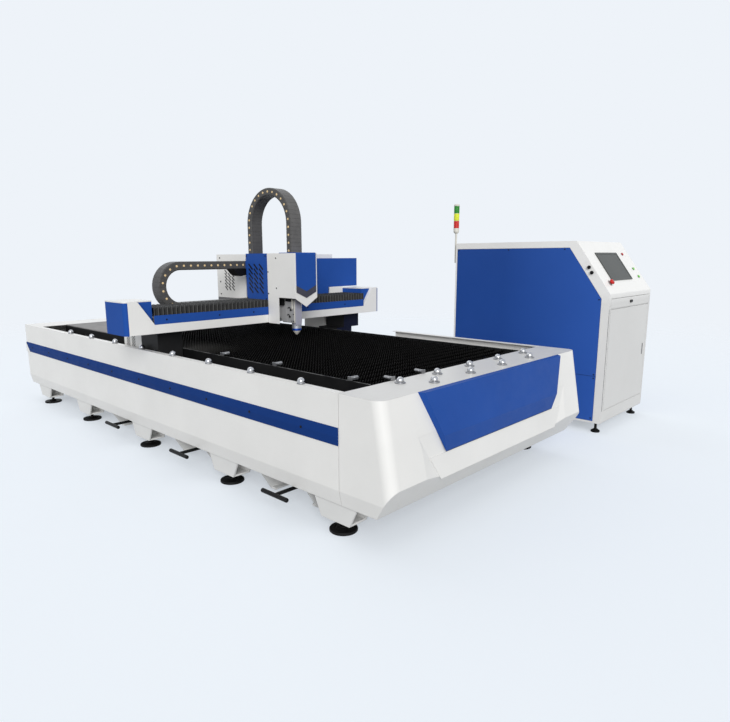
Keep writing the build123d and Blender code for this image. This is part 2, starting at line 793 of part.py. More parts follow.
def front_carrier():
    """The cross beam and uprights behind the front, which the front cover hangs on."""
    x0 = BED_LEFT + GIRDER_INSET
    x1 = 2 * BED_X - x0
    reach = SEAM - FRONT_TOP_DEPTH / 2
    top = BED_TOP - SHEET
    beam = block(x0, x1, reach, SEAM + SHEET, GIRDER_TOP - CROSS_HEIGHT, GIRDER_TOP)
    for x in (x0, BED_X - CROSS_WIDTH / 2, x1 - CROSS_WIDTH):
        beam += block(x, x + CROSS_WIDTH, reach, reach + CROSS_WIDTH, GIRDER_TOP, top)
    return beam


def levelling_foot(x, y, pad_radius, pad_height, stud_radius, top):
    """A round pad with its threaded stud."""
    pad = rod_z(x, y, 0, pad_height, pad_radius)
    return pad + rod_z(x, y, pad_height, top, stud_radius)


def levelling_feet():
    feet = []
    for side in (FOOT_X, 2 * BED_X - FOOT_X):
        for y in FOOT_FROM_SEAM:
            foot = levelling_foot(side, SEAM + y, PAD_RADIUS, PAD_HEIGHT, STUD_RADIUS, BRACKET_BOTTOM)
            nut = RegularPolygon(NUT_RADIUS, 6)
            low = BRACKET_BOTTOM - NUT_HEIGHT
            feet.append(foot + extrude(Pos(side, SEAM + y, low) * nut, amount=NUT_HEIGHT))
    return feet


def trough_walls():
    """Upright plates between the rail troughs and the table, with a ledge under the slats."""
    wall = block(WALL_LEFT, TABLE_LEFT, TABLE_FRONT, DECK_REAR, WALL_BOTTOM, WALL_TOP)
    wall += block(TABLE_LEFT, TABLE_LEFT + LEDGE, TABLE_FRONT, TABLE_REAR, SLAT_BOTTOM - WALL, SLAT_BOTTOM)
    slots = []
    for y in table_crossings():
        slots.append(
            block(
                WALL_LEFT,
                TABLE_LEFT,
                y - RUN_PLAY,
                y + CROSS_WIDTH + RUN_PLAY,
                CROSS_TOP - CROSS_HEIGHT - RUN_PLAY,
                GIRDER_TOP + RUN_PLAY,
            )
        )
    return both_sides(wall - slots)


def table_crossings():
    """Where the cross beams pass through the trough walls."""
    feet = [SEAM + y - CROSS_WIDTH / 2 for y in FOOT_FROM_SEAM[1:]]
    ends = [TABLE_FRONT, DECK_FRONT, DECK_REAR - CROSS_WIDTH]
    return [y for y in feet + ends if y < DECK_REAR]


def y_rails():
    half = RAIL_WIDTH / 2
    rail = block(
        RAIL_X - half, RAIL_X + half, TABLE_FRONT, DECK_REAR, GIRDER_TOP, GIRDER_TOP + RAIL_HEIGHT
    )
    return both_sides(rail)


def y_racks():
    rack = block(RACK_LEFT, WALL_LEFT, TABLE_FRONT, DECK_REAR, GIRDER_TOP, GIRDER_TOP + RACK_HEIGHT)
    return both_sides(rack)


def slat_places():
    return [TABLE_FRONT + SLAT_PITCH * (i + 0.5) for i in range(SLAT_COUNT)]


def slats():
    """Saw-toothed support slats standing across the table."""
    left = TABLE_LEFT + SLAT_END_GAP
    right = TABLE_RIGHT - SLAT_END_GAP
    count = int((right - left) // TOOTH_PITCH)
    pitch = (right - left) / count
    points = [(left, SLAT_BOTTOM), (left, SLAT_TIP - TOOTH_DEPTH)]
    for i in range(count):
        points.append((left + pitch * (i + 0.5), SLAT_TIP))
        points.append((left + pitch * (i + 1), SLAT_TIP - TOOTH_DEPTH))
    points.append((right, SLAT_BOTTOM))
    half = SLAT_THICKNESS / 2
    slat = prism_y(points, -half, half)
    return [Pos(0, y, 0) * slat for y in slat_places()]


def slat_combs():
    """Notched bars along the table that hold the slats upright."""
    half = SLAT_THICKNESS / 2 + NOTCH_GAP
    points = [(TABLE_FRONT, CROSS_TOP), (TABLE_FRONT, COMB_TOP)]
    for y in slat_places():
        points += [(y - half, COMB_TOP), (y - half, SLAT_BOTTOM)]
        points += [(y + half, SLAT_BOTTOM), (y + half, COMB_TOP)]
    points += [(TABLE_REAR, COMB_TOP), (TABLE_REAR, CROSS_TOP)]
    return [
        prism_x(points, BED_X + offset, BED_X + offset + COMB_THICKNESS) for offset in COMB_OFFSETS
    ]


def rear_deck():
    return block(TABLE_LEFT, TABLE_RIGHT, DECK_FRONT, DECK_REAR, BED_TOP - DECK_THICKNESS, BED_TOP)


def ball_places():
    """Where ball transfers stand and their cups' radius: along the near side and in two front rows."""
    x = BED_LEFT + SIDE_BALL_INSET
    places = [(x, SEAM + SIDE_BALL_START + SIDE_BALL_PITCH * i, SIDE_CUP_RADIUS) for i in range(SIDE_BALLS)]
    for back, pitch, count in zip(FRONT_ROW_BACK, FRONT_ROW_PITCH, FRONT_ROW_COUNT):
        start = BED_X - pitch * (count - 1) / 2
        places += [(start + pitch * i, SEAM - back, FRONT_CUP_RADIUS) for i in range(count)]
    return places


def ball_transfers():
    """Steel balls held in low round cups, each cup and ball as one sealed unit."""
    middle = CUP_HEIGHT + BALL_RISE
    steps = [(BALL_RADIUS * r, middle + BALL_RADIUS * z) for r, z in BALL_STEPS]
    return [
        Pos(x, y, BED_TOP) * stacked([(radius, 0), (radius, CUP_HEIGHT), (steps[0][0], CUP_HEIGHT)] + steps)
        for x, y, radius in ball_places()
    ]


def stop_pins():
    """Round stops that a sheet is pushed against, on blocks at the table's near edges."""
    z = WALL_TOP + STOP_RADIUS
    half = STOP_BLOCK / 2
    stops = []
    for along in SIDE_STOPS:
        y = SEAM + along
        seat = block(WALL_LEFT, TABLE_LEFT, y - half, y + half, WALL_TOP, WALL_TOP + STOP_RADIUS * 2)
        stops.append(seat + rod_x(TABLE_LEFT, TABLE_LEFT + STOP_LENGTH, y, z, STOP_RADIUS))
    z = BED_TOP + STOP_RADIUS
    for across in FRONT_STOPS:
        x = TABLE_LEFT + across
        seat = block(x - half, x + half, SEAM - WALL, SEAM, BED_TOP, BED_TOP + STOP_RADIUS * 2)
        stops.append(seat + rod_y(x, SEAM, SEAM + STOP_LENGTH, z, STOP_RADIUS))
    return stops


def scrap_drawer(along):
    """A shallow scrap tray with a T-shaped pull that reaches out under the side cover."""
    y = SEAM + along
    y0 = y + DRAWER_OFFSET - DRAWER_WIDTH / 2
    y1 = y0 + DRAWER_WIDTH
    x0 = BED_LEFT + DRAWER_START
    x1 = x0 + DRAWER_LENGTH
    wall = DRAWER_WALL
    tray = block(x0, x1, y0, y1, DRAWER_BOTTOM, DRAWER_TOP)
    tray -= block(x0 + wall, x1 - wall, y0 + wall, y1 - wall, DRAWER_BOTTOM + wall, DRAWER_TOP)
    bar_x = BED_LEFT - HANDLE_REACH + BAR_RADIUS
    stem = rod_x(bar_x, x0, y, HANDLE_Z, STEM_RADIUS)
    return tray + stem + rod_y(bar_x, y - BAR_LENGTH / 2, y + BAR_LENGTH / 2, HANDLE_Z, BAR_RADIUS)


def gantry_beam():
    """The hollow cross beam, with the chain's tray and the arms of the rear boxes on its back."""
    beam = block(BEAM_LEFT, BEAM_RIGHT, BEAM_FRONT, BEAM_BACK, BEAM_BOTTOM, BEAM_TOP)
    beam -= block(
        BEAM_LEFT,
        BEAM_RIGHT,
        BEAM_FRONT + BEAM_WALL,
        BEAM_BACK - BEAM_WALL,
        BEAM_BOTTOM + BEAM_WALL,
        BEAM_TOP - BEAM_WALL,
    )
    tray_back = BEAM_Y + REAR_BOX_FRONT
    beam += block(BEAM_LEFT, BEAM_RIGHT, BEAM_BACK, tray_back, CHAIN_LOW - CHAIN_TRAY, CHAIN_LOW - RUN_PLAY)
    for x in (REAR_BOX_LEFT, REAR_BOX_RIGHT - ARM):
        arm = [
            (BEAM_BACK, BEAM_BOTTOM),
            (tray_back, CHAIN_LOW - CHAIN_TRAY),
            (tray_back + REAR_BOX_DEPTH, REAR_BOX_LOW - ARM),
            (tray_back + REAR_BOX_DEPTH, REAR_BOX_LOW),
            (tray_back, REAR_BOX_LOW),
            (tray_back, CHAIN_LOW - RUN_PLAY),
            (BEAM_BACK, CHAIN_LOW - RUN_PLAY),
        ]
        beam += prism_x(arm, x, x + ARM)
    return beam


def gantry_saddles():
    """Upright legs that carry the beam on the guides, each with a drive plate behind it."""
    x0 = TROUGH_LEFT + SADDLE_PLAY
    x1 = WALL_LEFT - SADDLE_PLAY
    y0 = BEAM_Y + SADDLE_FRONT
    y1 = y0 + SADDLE_LENGTH
    above_rack = GIRDER_TOP + RACK_HEIGHT + BASE_PLAY
    split = BED_TOP + LEG_PLAY
    leg = block(x0, x1, y0, y1, above_rack, split)
    inner = RACK_LEFT - SADDLE_PLAY
    leg += block(x0, inner, y0, y1, BLOCK_TOP, above_rack)
    half = RAIL_WIDTH / 2 + RUN_PLAY
    for y in (y0, y1 - BLOCK_LENGTH):
        shoe = block(x0, inner, y, y + BLOCK_LENGTH, GIRDER_TOP + BASE_PLAY, BLOCK_TOP)
        top = GIRDER_TOP + RAIL_HEIGHT + RUN_PLAY
        shoe -= block(RAIL_X - half, RAIL_X + half, y, y + BLOCK_LENGTH, GIRDER_TOP, top)
        leg += shoe
    plate = block(x0, x1, y1, y1 + MOTOR_LENGTH, DRIVE_PLATE_Z, DRIVE_PLATE_Z + DRIVE_PLATE)
    plate += pin_z(PINION_X, PINION_Y, DRIVE_PLATE_Z - PINION_HEIGHT - RUN_PLAY, DRIVE_PLATE_Z, PINION_BORE)
    leg += plate
    upper = block(x0, x1, y0, y1, split, BEAM_BOTTOM)
    return [leg + upper, mirrored(leg) + Pos(RIGHT_LEG_SHIFT, 0, 0) * mirrored(upper)]


def y_motor_covers():
    """Louvred covers over the drive motors behind the legs."""
    x0 = TROUGH_LEFT + SADDLE_PLAY
    y0 = MOTOR_FRONT + RUN_PLAY
    y1 = MOTOR_FRONT + MOTOR_LENGTH
    floor = DRIVE_PLATE_Z + DRIVE_PLATE
    cover = block(x0, x0 + MOTOR_WIDTH, y0, y1, floor, MOTOR_TOP)
    return both_sides(cover - louvres((y0, y1, floor, MOTOR_TOP), MOTOR_FIELD, MOTOR_LOUVRES, x0))


def y_pinion():
    """The drive roller that stands for the pinion at its pitch size."""
    low = DRIVE_PLATE_Z - PINION_HEIGHT - RUN_PLAY
    disc = rod_z(PINION_X, PINION_Y, low, DRIVE_PLATE_Z - RUN_PLAY, PINION_RADIUS)
    disc -= pin_z(PINION_X, PINION_Y, low, DRIVE_PLATE_Z, PINION_BORE + RUN_PLAY)
    return disc - rod_z(PINION_X + PINION_MARK, PINION_Y, low, DRIVE_PLATE_Z, PINION_MARK_RADIUS)


def end_outline():
    """Front outline of the left end's white face, with its slanted inner edge."""
    return [
        (GANTRY_LEFT + END_ROUND, BEAM_BOTTOM),
        (BEAM_LEFT, BEAM_BOTTOM),
        (BEAM_LEFT, END_SLOPE_Z),
        (BEAM_LEFT - END_SLOPE, END_TOP),
        (GANTRY_LEFT + END_ROUND, END_TOP),
    ]


def end_box(low, high):
    """The left end's full form between two heights, rounded at its front outer corner."""
    box = block(GANTRY_LEFT, BEAM_LEFT, BEAM_Y, BEAM_Y + END_DEPTH, low, high)
    return fillet(box.edges().filter_by(Axis.Z).group_by(Axis.X)[0].sort_by(Axis.Y)[:1], END_ROUND)


def end_recess(low, high):
    """The space in front of a liner that its white face fills."""
    return block(GANTRY_LEFT + END_ROUND, BEAM_LEFT, BEAM_Y, BEAM_Y + END_FACE, low, high)


def gantry_end_covers():
    """White end faces with their tops, and the plate behind the way cover at the rail's far end."""
    low = END_TOP - LINER_DROP
    face = prism_y(end_outline(), BEAM_Y, BEAM_Y + END_FACE)
    face += end_box(low, END_TOP) - end_recess(low, END_TOP)
    back = BEAM_BACK + BASE_PLAY
    plate = block(
        BEAM_RIGHT - END_RETURN, BEAM_RIGHT, back, back + WALL * 2, BEAM_TOP, END_RETURN_RISE
    )
    return both_sides(face) + [plate]


def gantry_end_liners():
    """The boxes behind the white end faces, which close the beam's ends."""
    high = END_TOP - LINER_DROP
    return both_sides(end_box(BEAM_BOTTOM, high) - end_recess(BEAM_BOTTOM, high))


def beam_fascia(low, high):
    return block(BEAM_LEFT, BEAM_RIGHT, BEAM_Y, BEAM_FRONT, low, high)


def x_rail_places():
    return (BEAM_FRONT + X_RAIL_INSET, BEAM_BACK - X_RAIL_INSET)


def x_rails():
    half = X_RAIL_WIDTH / 2
    return [
        block(BEAM_LEFT, BEAM_RIGHT, y - half, y + half, BEAM_TOP, BLOCK_BASE) for y in x_rail_places()
    ]


def bellows(x0, x1):
    """A pleated way cover, folded over the front, top and back of the beam's rails."""
    folds = max(2, round((x1 - x0) / BELLOWS_PITCH))
    step = (x1 - x0) / folds / 2
    deep = [(i % 2) * BELLOWS_DEPTH for i in range(2 * folds + 1)]
    stations = [x0 + step * i for i in range(2 * folds + 1)]
    top = [(x, BELLOWS_TOP - d) for x, d in zip(stations, deep)]
    front = [(x, BEAM_Y + d) for x, d in zip(stations, deep)]
    back = [(x, BEAM_BACK - d) for x, d in zip(stations, deep)]
    upper = prism_y(top + [(x1, FASCIA_TOP), (x0, FASCIA_TOP)], BEAM_Y, BEAM_BACK)
    sides = prism_z(front + back[::-1], FASCIA_TOP, BELLOWS_TOP)
    inside = block(
        x0,
        x1,
        BEAM_Y + BELLOWS_SKIN,
        BEAM_BACK - BELLOWS_SKIN,
        FASCIA_TOP,
        BELLOWS_TOP - BELLOWS_SKIN,
    )
    return (upper & sides) - inside


def bellows_left():
    return bellows(BEAM_LEFT, CARRIAGE_LEFT - RUN_PLAY)


def bellows_right():
    return bellows(CARRIAGE_RIGHT + RUN_PLAY, BEAM_RIGHT)


def louvres(face, field, count, x):
    """Slanted slots cut into an upright face that looks along X, over a field given in shares of it."""
    y0, y1, z0, z1 = face
    left, right, low, high = field
    rows, columns = count
    width = (y1 - y0) * (right - left) / columns
    height = (z1 - z0) * (high - low) / rows
    slots = []
    for row in range(rows):
        for column in range(columns):
            y = y0 + (y1 - y0) * left + width * (column + 0.5)
            z = z0 + (z1 - z0) * low + height * (row + 0.5)
            slot = Box(SHEET, width * LOUVRE_LENGTH, height * LOUVRE_OPENING)
            slots.append(Pos(x + SHEET / 2, y, z) * Rot(-LOUVRE_SLANT, 0, 0) * slot)
    return slots


def rear_box():
    """The closed service box behind the beam, louvred on its near end."""
    y0 = BEAM_Y + REAR_BOX_FRONT
    y1 = y0 + REAR_BOX_DEPTH
    box = block(REAR_BOX_LEFT, REAR_BOX_RIGHT, y0, y1, REAR_BOX_LOW, REAR_BOX_HIGH)
    return box - louvres((y0, y1, REAR_BOX_LOW, REAR_BOX_HIGH), REAR_FIELD, REAR_LOUVRES, REAR_BOX_LEFT)


def rear_box_cover():
    """The shallow box on the front of the rear box, stepped up over the gantry's end cover."""
    x1 = REAR_COVER_RIGHT
    x0 = x1 - REAR_COVER_LENGTH
    step = END_RETURN_RISE + RUN_PLAY
    points = [
        (x0, REAR_BOX_LOW),
        (BEAM_RIGHT - END_RETURN - RUN_PLAY, REAR_BOX_LOW),
        (BEAM_RIGHT - END_RETURN - RUN_PLAY, step),
        (x1, step),
        (x1, REAR_COVER_HIGH),
        (x0, REAR_COVER_HIGH),
    ]
    return prism_y(points, BEAM_Y + REAR_COVER_FRONT, BEAM_Y + REAR_BOX_FRONT)


def carriage_saddle():
    """The cross slide: guide shoes, saddle plate, front plate, vertical rails and screw bearing."""
    x0 = CARRIAGE_LEFT + HEAD_SKIN
    x1 = CARRIAGE_RIGHT - HEAD_SKIN
    low = SADDLE_TOP - SADDLE_PLATE
    slide = block(x0, x1, PLATE_FRONT, BEAM_Y + VENT_BACK, low, SADDLE_TOP)
    half = X_RAIL_WIDTH / 2
    for y in x_rail_places():
        width = half + ARM / 2
        shoe = block(x0, x1, y - width, y + width, BEAM_TOP + BASE_PLAY, low)
        gap = half + RUN_PLAY
        slide += shoe - block(x0, x1, y - gap, y + gap, BEAM_TOP, BLOCK_BASE + RUN_PLAY)
    slide += block(x0, x1, PLATE_FRONT, PLATE_BACK, HEAD_LEG_LOW + ARM / 2, HEAD_TOP - ARM)
    for side in (-1, 1):
        x = CARRIAGE_X + side * Z_RAIL_OFFSET
        rail = Z_RAIL / 2
        slide += block(x - rail, x + rail, PLATE_FRONT - Z_RAIL, PLATE_FRONT, Z_RAIL_LOW, Z_RAIL_HIGH)
    bearing_low = Z_RAIL_HIGH - SCREW_HEAD
    radius = SCREW_RADIUS * 2
    bearing = block(
        CARRIAGE_X - radius, CARRIAGE_X + radius, SCREW_Y - radius, PLATE_FRONT, bearing_low, Z_RAIL_HIGH
    )
    return slide + (bearing - pin_z(CARRIAGE_X, SCREW_Y, bearing_low, Z_RAIL_HIGH, SCREW_RADIUS + RUN_PLAY))


def z_screw():
    """The lead screw of the vertical axis, with a flat on its top journal and a collar on the bearing."""
    low = Z_PLATE_LOW - ARM / 2
    screw = pin_z(CARRIAGE_X, SCREW_Y, low, Z_RAIL_HIGH + SCREW_RADIUS, SCREW_RADIUS)
    collar = rod_z(CARRIAGE_X, SCREW_Y, Z_RAIL_HIGH, Z_RAIL_HIGH + SCREW_RADIUS, COLLAR_RADIUS)
    flat = block(
        CARRIAGE_X + SCREW_RADIUS,
        CARRIAGE_X + COLLAR_RADIUS,
        SCREW_Y - SCREW_RADIUS * 2,
        SCREW_Y + SCREW_RADIUS * 2,
        Z_RAIL_HIGH,
        Z_RAIL_HIGH + SCREW_RADIUS,
    )
    return screw + (collar - flat)


def vent_cover():
    """The louvred hood over the beam, with the clamp of the chain's upper run."""
    x0, x1 = CARRIAGE_LEFT, CARRIAGE_RIGHT
    y0 = BEAM_Y
    y1 = BEAM_Y + VENT_BACK
    hood = block(x0, x1, y0, y1, VENT_LOW, HEAD_TOP)
    skin = VENT_SKIN
    hood -= block(x0 + skin, x1 - skin, y0, y1 - skin, VENT_LOW, HEAD_TOP - skin)
    hood -= louvres((y0, y1, VENT_LOW, HEAD_TOP), VENT_FIELD, VENT_LOUVRES, x0)
    clamp_x = CARRIAGE_LEFT + CHAIN_GAP
    low = CHAIN_TOP - CHAIN_DEPTH
    return hood + block(clamp_x, clamp_x + CHAIN_CLAMP, y1, CHAIN_Y, low, CHAIN_TOP)


def head_cover():
    """The white hood in front of the beam: L-shaped cheeks, a top and a pointed front."""
    y0 = BEAM_Y - HEAD_FRONT
    y1 = BEAM_Y - HEAD_BACK
    leg = y1 - HEAD_LEG_DEPTH
    skin = HEAD_SKIN
    cheek = [
        (y0, HEAD_TOP),
        (y1, HEAD_TOP),
        (y1, HEAD_LEG_LOW),
        (leg, HEAD_LEG_LOW),
        (leg, HEAD_CUT_Z),
        (y0, HEAD_CUT_Z),
    ]
    hood = prism_x(cheek, CARRIAGE_LEFT, CARRIAGE_LEFT + skin)
    hood += prism_x(cheek, CARRIAGE_RIGHT - skin, CARRIAGE_RIGHT)
    hood += block(CARRIAGE_LEFT, CARRIAGE_RIGHT, y0, y1, HEAD_TOP - skin, HEAD_TOP)
    front = [
        (CARRIAGE_LEFT, HEAD_TOP),
        (CARRIAGE_LEFT, HEAD_CUT_Z),
        (CARRIAGE_X, HEAD_TIP_Z),
        (CARRIAGE_RIGHT, HEAD_CUT_Z),
        (CARRIAGE_RIGHT, HEAD_TOP),
    ]
    hood += prism_y(front, y0, y0 + skin)
    play = Z_CHAIN_PLAY
    return hood - block(
        Z_CHAIN_LEFT - play,
        Z_CHAIN_LEFT + Z_CHAIN_WIDTH + play,
        Z_CHAIN_FRONT - play,
        Z_CHAIN_FRONT + Z_CHAIN_DEPTH + play,
        HEAD_TOP - skin,
        HEAD_TOP,
    )


def head_badge():
    """The blue insert on the head's front, which wraps over the top."""
    x0 = CARRIAGE_LEFT + HEAD_BADGE_INSET
    x1 = CARRIAGE_RIGHT - HEAD_BADGE_INSET
    y0 = BEAM_Y - HEAD_FRONT
    face = [
        (x0, HEAD_TOP),
        (x0, HEAD_BADGE_SIDE),
        (CARRIAGE_X, HEAD_BADGE_TIP),
        (x1, HEAD_BADGE_SIDE),
        (x1, HEAD_TOP),
    ]
    plate = prism_y(face, y0 - TRIM, y0)
    plate += block(x0, x1, y0 - TRIM, Z_CHAIN_FRONT - Z_CHAIN_PLAY, HEAD_TOP, HEAD_TOP + TRIM)
    return fillet(plate.edges().filter_by(Axis.X).group_by(Axis.Z)[-1].sort_by(Axis.Y)[:1], TRIM_ROUND)


def head_chevron():
    """The dark V below the blue insert."""
    x0 = CARRIAGE_LEFT + HEAD_BADGE_INSET
    x1 = CARRIAGE_RIGHT - HEAD_BADGE_INSET
    y0 = BEAM_Y - HEAD_FRONT
    points = [
        (x0, HEAD_BADGE_SIDE),
        (CARRIAGE_X, HEAD_BADGE_TIP),
        (x1, HEAD_BADGE_SIDE),
        (x1, HEAD_BADGE_SIDE - CHEVRON_DROP),
        (CARRIAGE_X, HEAD_BADGE_TIP - CHEVRON_DROP),
        (x0, HEAD_BADGE_SIDE - CHEVRON_DROP),
    ]
    return prism_y(points, y0 - TRIM, y0)


def z_plate():
    """The vertical slide: plate with guide shoes and screw nut, cheeks for the head, chain foot."""
    x0 = CARRIAGE_X - Z_PLATE_HALF
    x1 = CARRIAGE_X + Z_PLATE_HALF
    slide = block(x0, x1, Z_PLATE_FRONT, Z_PLATE_BACK, Z_PLATE_LOW, Z_PLATE_HIGH)
    rail = Z_RAIL / 2
    for side in (-1, 1):
        x = CARRIAGE_X + side * Z_RAIL_OFFSET
        width = rail + CHEEK
        for z in (Z_PLATE_LOW, Z_PLATE_HIGH - ARM * 3):
            shoe = block(x - width, x + width, Z_PLATE_BACK, PLATE_FRONT - BASE_PLAY, z, z + ARM * 2)
            gap = rail + RUN_PLAY
            channel = block(x - gap, x + gap, PLATE_FRONT - Z_RAIL - RUN_PLAY, PLATE_FRONT, z, z + ARM * 2)
            slide += shoe - channel
        edge = CARRIAGE_X + side * (HEAD_RADIUS + RUN_PLAY * 2)
        outer = edge + side * CHEEK
        reach = Z_PLATE_FRONT - CHEEK_REACH
        slide += block(min(edge, outer), max(edge, outer), reach, Z_PLATE_FRONT, CHEEK_LOW, CHEEK_HIGH)
    back = NOZZLE_Y + HEAD_RADIUS
    slide += block(
        CARRIAGE_X - HEAD_RADIUS, CARRIAGE_X + HEAD_RADIUS, back, Z_PLATE_FRONT, Z_PLATE_LOW, CHEEK_HIGH
    )
    nut_radius = SCREW_RADIUS * 2
    nut_z = Z_PLATE_HIGH - ARM * 4
    nut = block(
        CARRIAGE_X - nut_radius, CARRIAGE_X + nut_radius, SCREW_Y - nut_radius, SCREW_Y + nut_radius,
        nut_z, nut_z + ARM,
    )
    slide += nut
    slide -= pin_z(CARRIAGE_X, SCREW_Y, Z_PLATE_LOW, Z_PLATE_HIGH, SCREW_RADIUS + RUN_PLAY)
    foot_low = Z_PLATE_HIGH - Z_CHAIN_FOOT
    return slide + block(
        Z_CHAIN_LEFT,
        Z_CHAIN_LEFT + Z_CHAIN_WIDTH,
        Z_CHAIN_FRONT,
        Z_PLATE_FRONT,
        foot_low,
        Z_PLATE_HIGH,
    )


def turned(steps):
    """A piece round about the cutting head's axis, from (radius, z) pairs."""
    return Pos(CARRIAGE_X, NOZZLE_Y, 0) * stacked(steps)


def cutting_head():
    shoulder = CHEEK_LOW
    return turned([
        (RING_RADIUS, RING_TOP),
        (RING_RADIUS, shoulder - ARM / 2),
        (HEAD_RADIUS, shoulder),
        (HEAD_RADIUS, CHEEK_HIGH),
        (RING_RADIUS, CHEEK_HIGH),
        (RING_RADIUS, HEAD_BODY_TOP),
    ])


def head_ring():
    return turned([(RING_RADIUS, NOZZLE_TOP), (RING_RADIUS, RING_TOP)])


def nozzle():
    mouth = SCREW_RADIUS
    return turned([
        (mouth, NOZZLE_TIP),
        (RING_RADIUS - mouth, NOZZLE_TOP - mouth),
        (RING_RADIUS - mouth, NOZZLE_TOP),
    ])


def straight_links(start, end):
    """Centres and length of the links that fill a straight run."""
    count = max(1, round(abs(end - start) / CHAIN_LINK))
    pitch = (end - start) / count
    return [start + pitch * (i + 0.5) for i in range(count)], abs(pitch) - CHAIN_GAP


def bend_links(outer, depth):
    """Corner points of wedge-shaped links round a half turn, about the bend's centre."""
    inner = outer - depth
    middle = (outer + inner) / 2
    count = ceil(pi * middle / CHAIN_LINK)
    gap = CHAIN_GAP / middle
    wedges = []
    for i in range(count):
        a0 = pi * i / count + gap / 2
        a1 = pi * (i + 1) / count - gap / 2
        corners = ((inner, a0), (outer, a0), (outer, a1), (inner, a1))
        wedges.append([(r * cos(a), r * sin(a)) for r, a in corners])
    return wedges


def chain_run(start, end, low):
    centres, length = straight_links(start, end)
    half = length / 2
    return [
        block(x - half, x + half, CHAIN_Y, CHAIN_Y + CHAIN_WIDTH, low, low + CHAIN_DEPTH) for x in centres
    ]


def x_chain_upper():
    return chain_run(CHAIN_X, CARRIAGE_LEFT + CHAIN_CLAMP, CHAIN_TOP - CHAIN_DEPTH)


def x_chain_lower():
    return chain_run(CHAIN_X, BED_X, CHAIN_LOW)


def x_chain_bend():
    """The half turn of the cross chain, which rolls along at half the carriage's speed."""
    links = []
    for wedge in bend_links(CHAIN_OUTER, CHAIN_DEPTH):
        points = [(CHAIN_X - b, CHAIN_MID_Z + a) for a, b in wedge]
        links.append(prism_y(points, CHAIN_Y, CHAIN_Y + CHAIN_WIDTH))
    return links


def z_chain():
    """The arched chain from the hood over the beam to the vertical slide."""
    x0 = Z_CHAIN_LEFT
    x1 = x0 + Z_CHAIN_WIDTH
    links = []
    for wedge in bend_links(Z_CHAIN_OUTER, Z_CHAIN_DEPTH):
        links.append(prism_x([(Z_CHAIN_Y + a, Z_CHAIN_MID_Z + b) for a, b in wedge], x0, x1))
    legs = ((Z_CHAIN_BACK - Z_CHAIN_DEPTH, HEAD_TOP), (Z_CHAIN_FRONT, Z_PLATE_HIGH))
    for y, low in legs:
        centres, length = straight_links(low, Z_CHAIN_MID_Z)
        for z in centres:
            links.append(block(x0, x1, y, y + Z_CHAIN_DEPTH, z - length / 2, z + length / 2))
    return links


def console_plane():
    """The sloping console: origin at its lower left corner, Y up the slope, Z outwards."""
    normal = (0, -sin(CONSOLE_ANGLE), cos(CONSOLE_ANGLE))
    return Plane(origin=(CAB_LEFT, CAB_FRONT, CONSOLE_LOW), x_dir=(1, 0, 0), z_dir=normal)


def cabinet_outline():
    return [
        (CAB_FRONT, CAB_LOW),
        (CAB_BACK, CAB_LOW),
        (CAB_BACK, CAB_TOP),
        (CAB_FRONT + CONSOLE_BACK, CAB_TOP),
        (CAB_FRONT, CONSOLE_LOW),
    ]


def drawn_in(points, borders):
    """A convex outline, anticlockwise, with each edge moved inwards by its own border."""
    lines = []
    for (a, b), (c, d), border in zip(points, points[1:] + points[:1], borders):
        length = hypot(c - a, d - b)
        nx, ny = (b - d) / length, (c - a) / length
        lines.append((nx, ny, nx * a + ny * b + border))
    corners = []
    for (ax, ay, aw), (bx, by, bw) in zip(lines[-1:] + lines[:-1], lines):
        det = ax * by - ay * bx
        corners.append(((aw * by - ay * bw) / det, (ax * bw - aw * bx) / det))
    return corners


def panel_points(gap):
    """A side panel's outline within the cabinet's, less a gap all round."""
    return drawn_in(cabinet_outline(), [border + gap for border in SIDE_PANEL_BORDERS])


def cabinet_shell():
    """The painted cabinet body, open at the door bay and at the keyboard drawer's bay."""
    body = prism_x(cabinet_outline(), CAB_LEFT, CAB_RIGHT)
    corners = body.edges().filter_by(Axis.X)
    body = fillet(corners, CAB_ROUND)
    wall = CAB_WALL
    x0, x1 = CAB_LEFT + wall, CAB_RIGHT - wall
    bay_low = DOOR_LOW + DOOR_FLANGE
    bay_high = DOOR_HIGH - DOOR_FLANGE
    body -= block(x0, x1, CAB_FRONT + DOOR_THICKNESS, CAB_BACK - wall, bay_low, bay_high)
    door_x0, door_x1 = CAB_LEFT + DOOR_BORDER, CAB_RIGHT - DOOR_BORDER
    body -= block(door_x0, door_x1, CAB_FRONT, CAB_FRONT + DOOR_THICKNESS, DOOR_LOW, DOOR_HIGH)
    reach = CAB_FRONT + TRAY_DEPTH + wall
    gap = DOOR_GAP
    body -= block(door_x0, door_x1, CAB_FRONT, reach, TRAY_LOW - gap, TRAY_HIGH + gap)
    body -= pin_z(*hinge_place(), DOOR_LOW - HINGE_BITE, DOOR_HIGH + HINGE_BITE, HINGE_RADIUS + HINGE_PLAY)
    for x, side in ((CAB_LEFT, 1), (CAB_RIGHT, -1)):
        inner = x + side * SIDE_PANEL_DEPTH
        body -= prism_x(panel_points(0), min(x, inner), max(x, inner))
    return body - button_holes()


def button_holes():
    places = (ESTOP_PLACE, RED_PLACE) + GREEN_PLACES
    depth = BUTTON_HOLE
    return [
        console_plane() * Pos(u, v, -depth / 2) * Cylinder(BUTTON_STEM + BUTTON_GAP, depth) for u, v in places
    ]


def side_panels():
    """Blue panels let into both sides of the cabinet."""
    points = panel_points(SIDE_PANEL_GAP)
    left = prism_x(points, CAB_LEFT, CAB_LEFT + SIDE_PANEL_DEPTH)
    right = prism_x(points, CAB_RIGHT - SIDE_PANEL_DEPTH, CAB_RIGHT)
    return [left, right]


